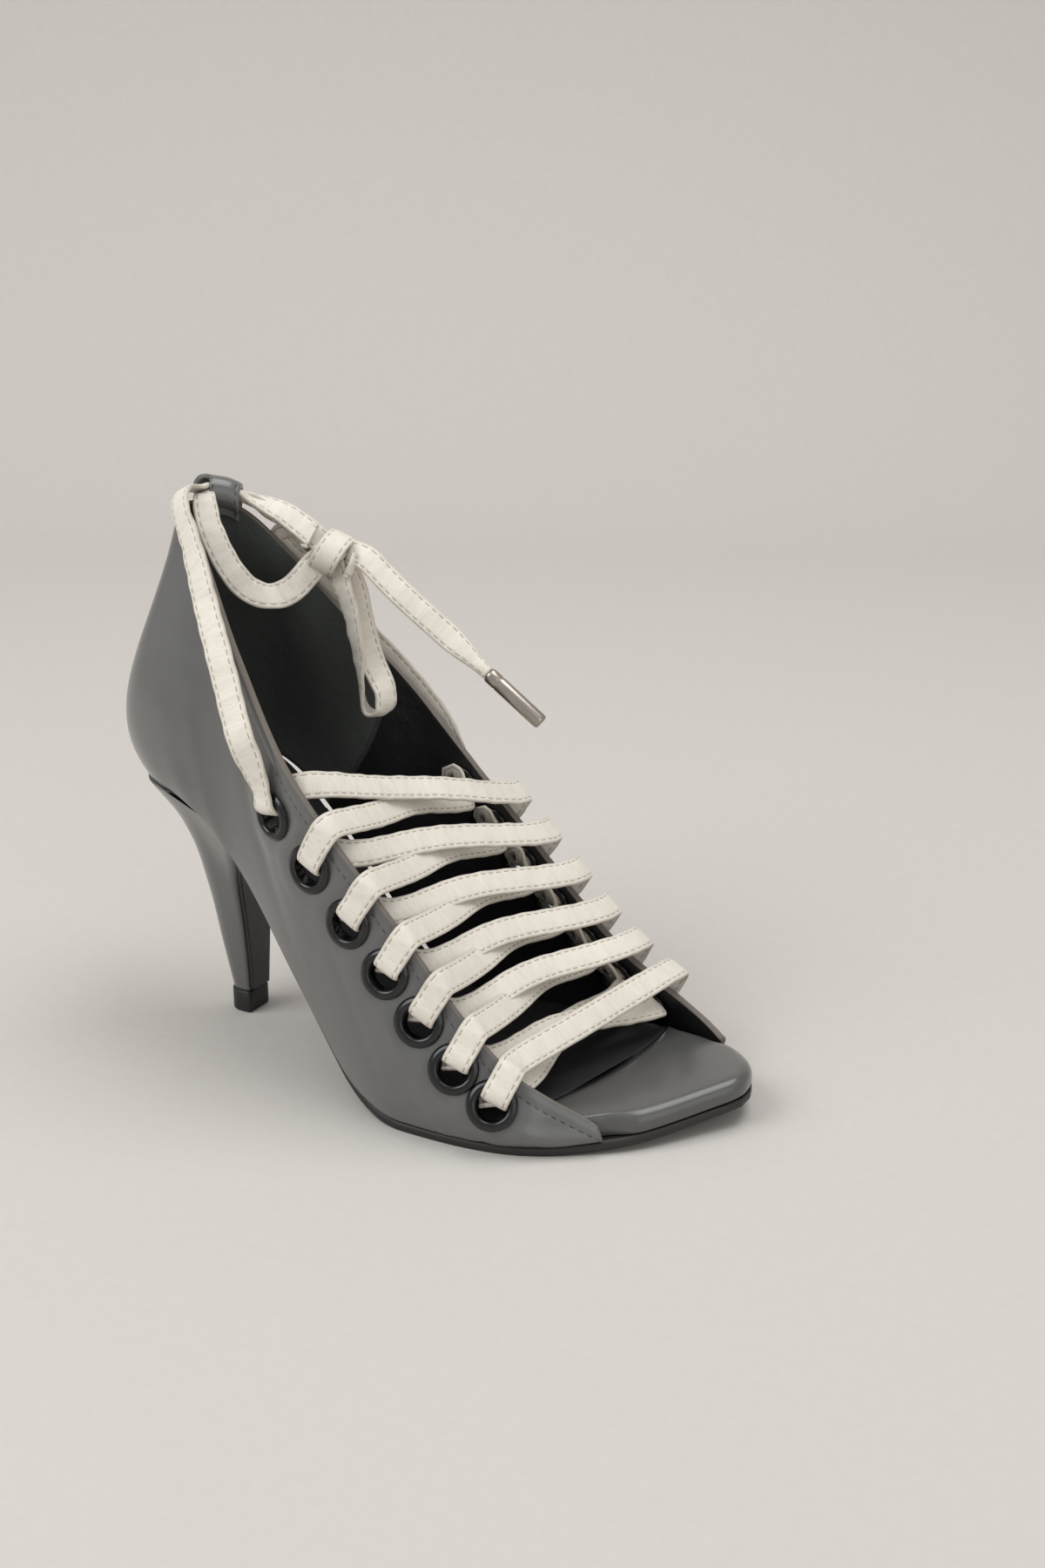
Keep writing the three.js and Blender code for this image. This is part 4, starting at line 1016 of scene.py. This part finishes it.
def ribbon(stops, step=0.7, wave=1.0, seed=0.0):
    """Flat lace through stops of (place, face, width share): a rounded flat section, set square
    to the path. Returns rings and their UV, which holds the way along and across in mm."""
    s = sizes()
    place, stop, at = spline([p for p, *_ in stops], step)
    faces = np.array([unit(np.asarray(f, float)) for _, f, *_ in stops])
    share = np.array([rest[0] if rest else 1.0 for _, _, *rest in stops])
    i = np.clip(stop.astype(int), 0, len(stops) - 2)
    t = smooth(stop - i, 0, 1)[:, None]
    face = unit(faces[i] * (1 - t) + faces[i + 1] * t)
    wide = share[i] * (1 - t[:, 0]) + share[i + 1] * t[:, 0]
    tangent = unit(np.gradient(place, axis=0))
    across = unit(np.cross(tangent, face))
    normal = np.cross(across, tangent)
    a = np.linspace(0, 2 * np.pi, 24, endpoint=False) + 0.13
    cx, cy = np.cos(a), np.sin(a)
    x = np.sign(cx) * np.abs(cx) ** 0.3
    y = np.sign(cy) * np.abs(cy) ** 0.5
    ripple = wave * (0.14 * np.sin(at * 0.55 + seed) + 0.08 * np.sin(at * 1.37 + 2 * seed))
    edge = wave * 0.16 * np.sin(at * 0.83 + 1.3 * seed)
    half = wide * s.lace_width / 2
    thick = s.lace_thick / 2
    cup = 0.2 * (1 - x ** 2)[None, :] + edge[:, None] * x[None, :] ** 3
    fold = (1 - wide)[:, None] * 3.0 * (1 - x[None, :] ** 2)
    ring = place[:, None] + across[:, None] * (half[:, None] * x[None, :])[..., None]
    height = thick * y[None, :] + cup - 0.14 + ripple[:, None] * 0.5 + fold
    ring = ring + normal[:, None] * height[..., None]
    uv = np.zeros(ring.shape[:2] + (2,))
    uv[..., 0] = at[:, None]
    uv[..., 1] = x[None, :] * s.lace_width / 2
    return ring, uv, place


def ribbons(name, strips, *nodes):
    """Several lace strips in one mesh, in place of the named solids."""
    points, uvs, faces, base = [], [], [], 0
    for ring, uv, _ in strips:
        rows, columns = ring.shape[:2]
        points.append(ring.reshape(-1, 3))
        uvs.append(uv.reshape(-1, 2))
        faces += closed_tube(rows, columns, base)
        base += rows * columns
    obj = make_mesh(name, np.concatenate(points), faces, [cream_lace()], uv=np.concatenate(uvs))
    return settle(obj, "cream_lace", *nodes)


def mouth(turn):
    """Direction square to the sloping mouth of the throat."""
    sign = math.copysign(1, turn)
    run = top_edge(turn + 3 * sign) - top_edge(turn - 3 * sign)
    return unit([-run[2], 0, run[0]])


def through(p, aim):
    """Stops through an eyelet's hole, from inside out, bent flat over the flange towards aim."""
    s = sizes()
    half = s.lace_thick / 2
    rim = p["seat"] + FLANGE + half
    point, normal = p["point"], p["normal"]
    way = np.asarray(aim, float) - point
    way = unit(way - normal * (way @ normal))
    return [
        (point - normal * 1.8 + way * 1.0, -way),
        (point + normal * (rim - FLANGE) + way * 1.1, normal * 0.3 - way),
        (point + normal * (rim + 0.3) + way * 2.7, normal - way * 0.4),
        (point + normal * (rim + 0.35) + way * 6.2, normal),
    ]


def over_edge(p, slack=0.0):
    """Stops of a lace that climbs from its eyelet over the top edge, with some slack outwards."""
    s = sizes()
    half = s.lace_thick / 2
    sign = math.copysign(1, p["turn"])
    passing = p["turn"] + s.slant * sign
    edge = behind_wall(passing, 1.0, s.wall / 2)
    open_, side = mouth(passing), wall_normal(passing, 0.97)
    crest = unit(side + open_)
    clear = s.wall / 2 + 0.7 + half
    top = edge + crest * (clear + 0.5) + side * slack
    stops = through(p, top)
    if slack:
        between, middle = p["turn"] + 0.6 * s.slant * sign, 0.5 * p["rise"] + 0.5
        off = FLANGE + half + 0.75 * slack
        stops[-1] = (behind_wall(between, middle, -off), wall_normal(between, middle))
        stops.append((edge + side * (clear + 1.2 + slack) + open_ * 1.5, unit(side + 0.35 * open_)))
        top = edge + open_ * (clear + 1.6 + 0.35 * slack) + side * (0.4 * slack)
        return stops + [(top, unit(open_ + 0.15 * side))]
    return stops + [(top, crest), (edge + open_ * (clear + 0.7) - side * 3.2, unit(open_ + 0.2 * side))]


def under_edge(p, drop=7.0):
    """Stops of a lace that passes below the top edge and enters an eyelet from behind."""
    s = sizes()
    half = s.lace_thick / 2
    sign = math.copysign(1, p["turn"])
    passing = p["turn"] + s.slant * sign
    near = rise_below(passing, drop)
    depth = p["back"] - 0.6 - half
    face = unit(mouth(passing) + p["normal"])
    climb = p["climb"]
    return [
        (behind_wall(passing, near, s.wall + 0.8 + half + 1.8), face),
        (p["point"] + p["normal"] * (depth - 0.5) + climb * 4.2, p["normal"] + climb * 0.2),
        (p["point"] + p["normal"] * (depth + 1.0) + climb * 1.3, p["normal"] * 0.4 + climb),
        (p["point"] - p["normal"] * 1.6, climb),
    ]


def across(a, b, open_, lift):
    """Two stops on the way from a to b, lifted out of the throat."""
    return [(a + (b - a) * share + open_ * lift, open_) for share in (0.33, 0.67)]


class SHOE_OT_lacing(bpy.types.Operator):
    """Lacing: a bar at the toe and six crossings, each of two strips"""
    bl_idname = "shoe.lacing"
    bl_label = "Lacing"

    def execute(self, context):
        rows = eyelet_rows()
        left, right = rows["l"], rows["m"]
        last = len(left) - 1
        start, end = over_edge(left[last]), over_edge(right[last], 4.0)[::-1]
        ribbons("lace_bar", [self.strip(left[last], start, end, 0.8, 0.4)], "lace_bar_7")
        for k in range(last, 0, -1):
            strips = []
            for n, (a, b) in enumerate(((left[k], right[k - 1]), (right[k], left[k - 1]))):
                if k == last:
                    start, lift, seed = under_edge(a, 3.5)[::-1], (-0.9, 1.0)[n], 1.7 + n
                else:
                    start, lift, seed = over_edge(a, (0.0, 4.5)[n]), (-0.9, 1.1)[n], 2.3 * k + n
                strips.append(self.strip(a, start, under_edge(b), lift, seed))
            ribbons(f"lace_crossing_{k + 1}", strips, f"lace_cross_{k + 1}")
        return {"FINISHED"}

    def strip(self, eyelet, start, end, lift, seed):
        """Lace from the stops of one side to those of the other."""
        return ribbon(start + across(start[-1][0], end[0][0], mouth(eyelet["turn"]), lift) + end, seed=seed)


def wrapped(centre, radii, a0, a1, tilt, lead):
    """Stops of a lace wound round the knot: an ellipse in a tilted plane that drifts along its
    axis by lead."""
    axis = unit(tilt)
    side = unit(np.cross(axis, [0.2, 0.1, 1]))
    third = np.cross(axis, side)
    stops = []
    for share in np.linspace(0, 1, 9):
        a = math.radians(a0 + (a1 - a0) * share)
        way = math.cos(a) * side * radii[0] + math.sin(a) * third * radii[1]
        stops.append((centre + way + axis * lead * (share - 0.5), unit(way)))
    return stops


class SHOE_OT_free_lace(bpy.types.Operator):
    """Free lace: both runs up the collar, the draped part, the knot, its loop and the end"""
    bl_idname = "shoe.free_lace"
    bl_label = "Free lace"

    def execute(self, context):
        rows = eyelet_rows()
        knot = self.knot()
        tip = self.aglet()
        stops = through(rows["l"][0], LATERAL_RUN[0][0]) + self.widths(LATERAL_RUN, SQUEEZED_LATERAL)
        strip = ribbon(stops, seed=0.2)
        obj = ribbons("lateral_run", [strip], "lace_lateral", "lace_tunnel")
        side = []
        for turn, out, up in INNER_RUN:
            face = wall_normal(turn, 0.97)
            side.append((top_edge(turn) + face * out + UP * up, face))
        stops = through(rows["m"][0], side[0][0]) + side + self.widths(MEDIAL_RUN, SQUEEZED_MEDIAL)
        strip = ribbon(stops, seed=1.2)
        obj = ribbons("medial_run", [strip], "lace_medial", "lace_drape")
        strip = ribbon(self.widths(HANGING_LOOP, {}, 0.92), seed=2.2)
        obj = ribbons("hanging_loop", [strip], "lace_loop")
        strip = ribbon(self.widths(FREE_END, {5: 0.5}, 0.95), seed=3.1)
        obj = ribbons("free_end", [strip], "lace_end")
        return {"FINISHED"}

    def widths(self, run, squeezed, usual=1.0):
        """The run's stops with their share of the lace's width."""
        return [(place, face, squeezed.get(i, usual)) for i, (place, face) in enumerate(run)]

    def knot(self):
        """An overhand knot: two turns of lace round a core."""
        centre = np.array(KNOT)
        turns = [
            wrapped(centre, (4.2, 3.4), 0, 340, (0.75, 0.2, -0.6), 1.0),
            wrapped(centre, (7.2, 6.0), -160, 205, (0.86, 0.3, -0.42), -3.5),
            wrapped(centre + (0.6, -0.6, 0.4), (8.3, 6.8), 0, 235, (0.25, 0.45, 0.86), 3.0),
        ]
        strips = [ribbon(stops, wave=0.3, seed=n) for n, stops in enumerate(turns)]
        return ribbons("knot", strips, "lace_knot")

    def aglet(self):
        """Metal tube with rounded ends and a crimp."""
        start = np.array(AGLET_START)
        aim = unit(np.array(AGLET_AIM) - start)
        profile = [(0.0, 0.6), (1.6, 0.6), (2.15, 0.9), (2.3, 1.5), (2.3, 4.0), (2.14, 4.6), (2.3, 5.2),
                   (2.3, 20.4), (2.2, 21.2), (1.9, 21.5), (1.6, 21.3), (1.5, 19.5), (0.0, 19.5)]
        look = shared("aglet metal", lambda n: plain(n, colours().aglet, 0.3, 250.0, 0.2, 0.9, 0.1))
        obj = ring_body("lace_tip", turned(profile, start, aim), look, cap=False)
        return settle(obj, "aglet_metal", "aglet")


def look_along(obj, way):
    """Turns a camera or lamp so that it looks along the way."""
    obj.rotation_mode = "QUATERNION"
    obj.rotation_quaternion = way.to_track_quat("-Z", "Y")


class SHOE_OT_camera(bpy.types.Operator):
    """Camera low in front of the outer side"""
    bl_idname = "shoe.camera"
    bl_label = "Camera"

    def execute(self, context):
        data = bpy.data.cameras.new("camera")
        data.sensor_width = 36
        data.lens = LENS
        data.clip_start, data.clip_end = 0.05, 20
        obj = bpy.data.objects.new("camera", data)
        context.scene.collection.objects.link(obj)
        obj.location = CAMERA_AT
        tip = math.radians(CAMERA_TIP)
        level = math.cos(tip)
        look_along(obj, Vector((CAMERA_WAY[0] * level, CAMERA_WAY[1] * level, -math.sin(tip))))
        context.scene.camera = obj
        return {"FINISHED"}


class SHOE_OT_stage(bpy.types.Operator):
    """Pale floor that curves up into a wall, soft lamps and a pale sky"""
    bl_idname = "shoe.stage"
    bl_label = "Stage"

    def execute(self, context):
        way = np.array([*CAMERA_WAY, 0])
        side = np.array([way[1], -way[0], 0])
        a = np.linspace(0, math.pi / 2, 16)
        run = np.concatenate([[-2.0, 0.0], 0.62 + 0.35 * np.sin(a), [0.97]])
        level = np.concatenate([[0, 0], 0.35 * (1 - np.cos(a)), [2.5]])
        points = [way * r + side * w + UP * z for r, z in zip(run, level) for w in (-2.5, 2.5)]
        faces = [[2 * i, 2 * i + 1, 2 * i + 3, 2 * i + 2] for i in range(len(run) - 1)]
        cloth = plain("floor cloth", colours().floor, 0.9, 260.0, 0.35, spread=0.03)
        floor = make_mesh("floor", np.array(points) / MM, faces, [cloth])
        world = bpy.data.worlds.new("studio")
        world.use_nodes = True
        sky = world.node_tree.nodes["Background"].inputs
        sky[0].default_value = (*SKY, 1)
        sky[1].default_value = SKY_POWER
        context.scene.world = world
        for name, at, look, size, power in LAMPS:
            data = bpy.data.lights.new(name, "AREA")
            data.shape = "RECTANGLE"
            data.size, data.size_y = size
            data.energy = power
            lamp = bpy.data.objects.new(name, data)
            context.scene.collection.objects.link(lamp)
            lamp.location = at
            look_along(lamp, Vector(look) - Vector(at))
        context.scene.view_settings.view_transform = "Standard"
        context.scene.view_settings.look = "None"
        return {"FINISHED"}


class SHOE_PT_panel(bpy.types.Panel):
    """Buttons and sizes of the shoe"""
    bl_label = "Shoe"
    bl_idname = "SHOE_PT_panel"
    bl_space_type = "VIEW_3D"
    bl_region_type = "UI"
    bl_category = "Shoe"

    def draw(self, context):
        for group in (context.scene.shoe_sizes, context.scene.shoe_colours):
            for name in group.__annotations__:
                self.layout.prop(group, name)
        for operator in OPERATORS:
            self.layout.operator(operator.bl_idname)


OPERATORS = (SHOE_OT_camera, SHOE_OT_upper, SHOE_OT_sole, SHOE_OT_heel, SHOE_OT_heel_loop, SHOE_OT_eyelets,
             SHOE_OT_lacing, SHOE_OT_free_lace, SHOE_OT_stage)
CLASSES = (ShoeSizes, ShoeColours, *OPERATORS, SHOE_PT_panel)


def register():
    """Adds the classes and the two groups of settings."""
    for cls in CLASSES:
        bpy.utils.register_class(cls)
    bpy.types.Scene.shoe_sizes = bpy.props.PointerProperty(type=ShoeSizes)
    bpy.types.Scene.shoe_colours = bpy.props.PointerProperty(type=ShoeColours)


def unregister():
    """Takes the classes and settings away."""
    del bpy.types.Scene.shoe_colours
    del bpy.types.Scene.shoe_sizes
    for cls in reversed(CLASSES):
        bpy.utils.unregister_class(cls)


def main():
    """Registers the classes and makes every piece."""
    register()
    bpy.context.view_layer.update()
    for operator in OPERATORS:
        group, name = operator.bl_idname.split(".")
        getattr(getattr(bpy.ops, group), name)()


if __name__ == "__main__":
    main()
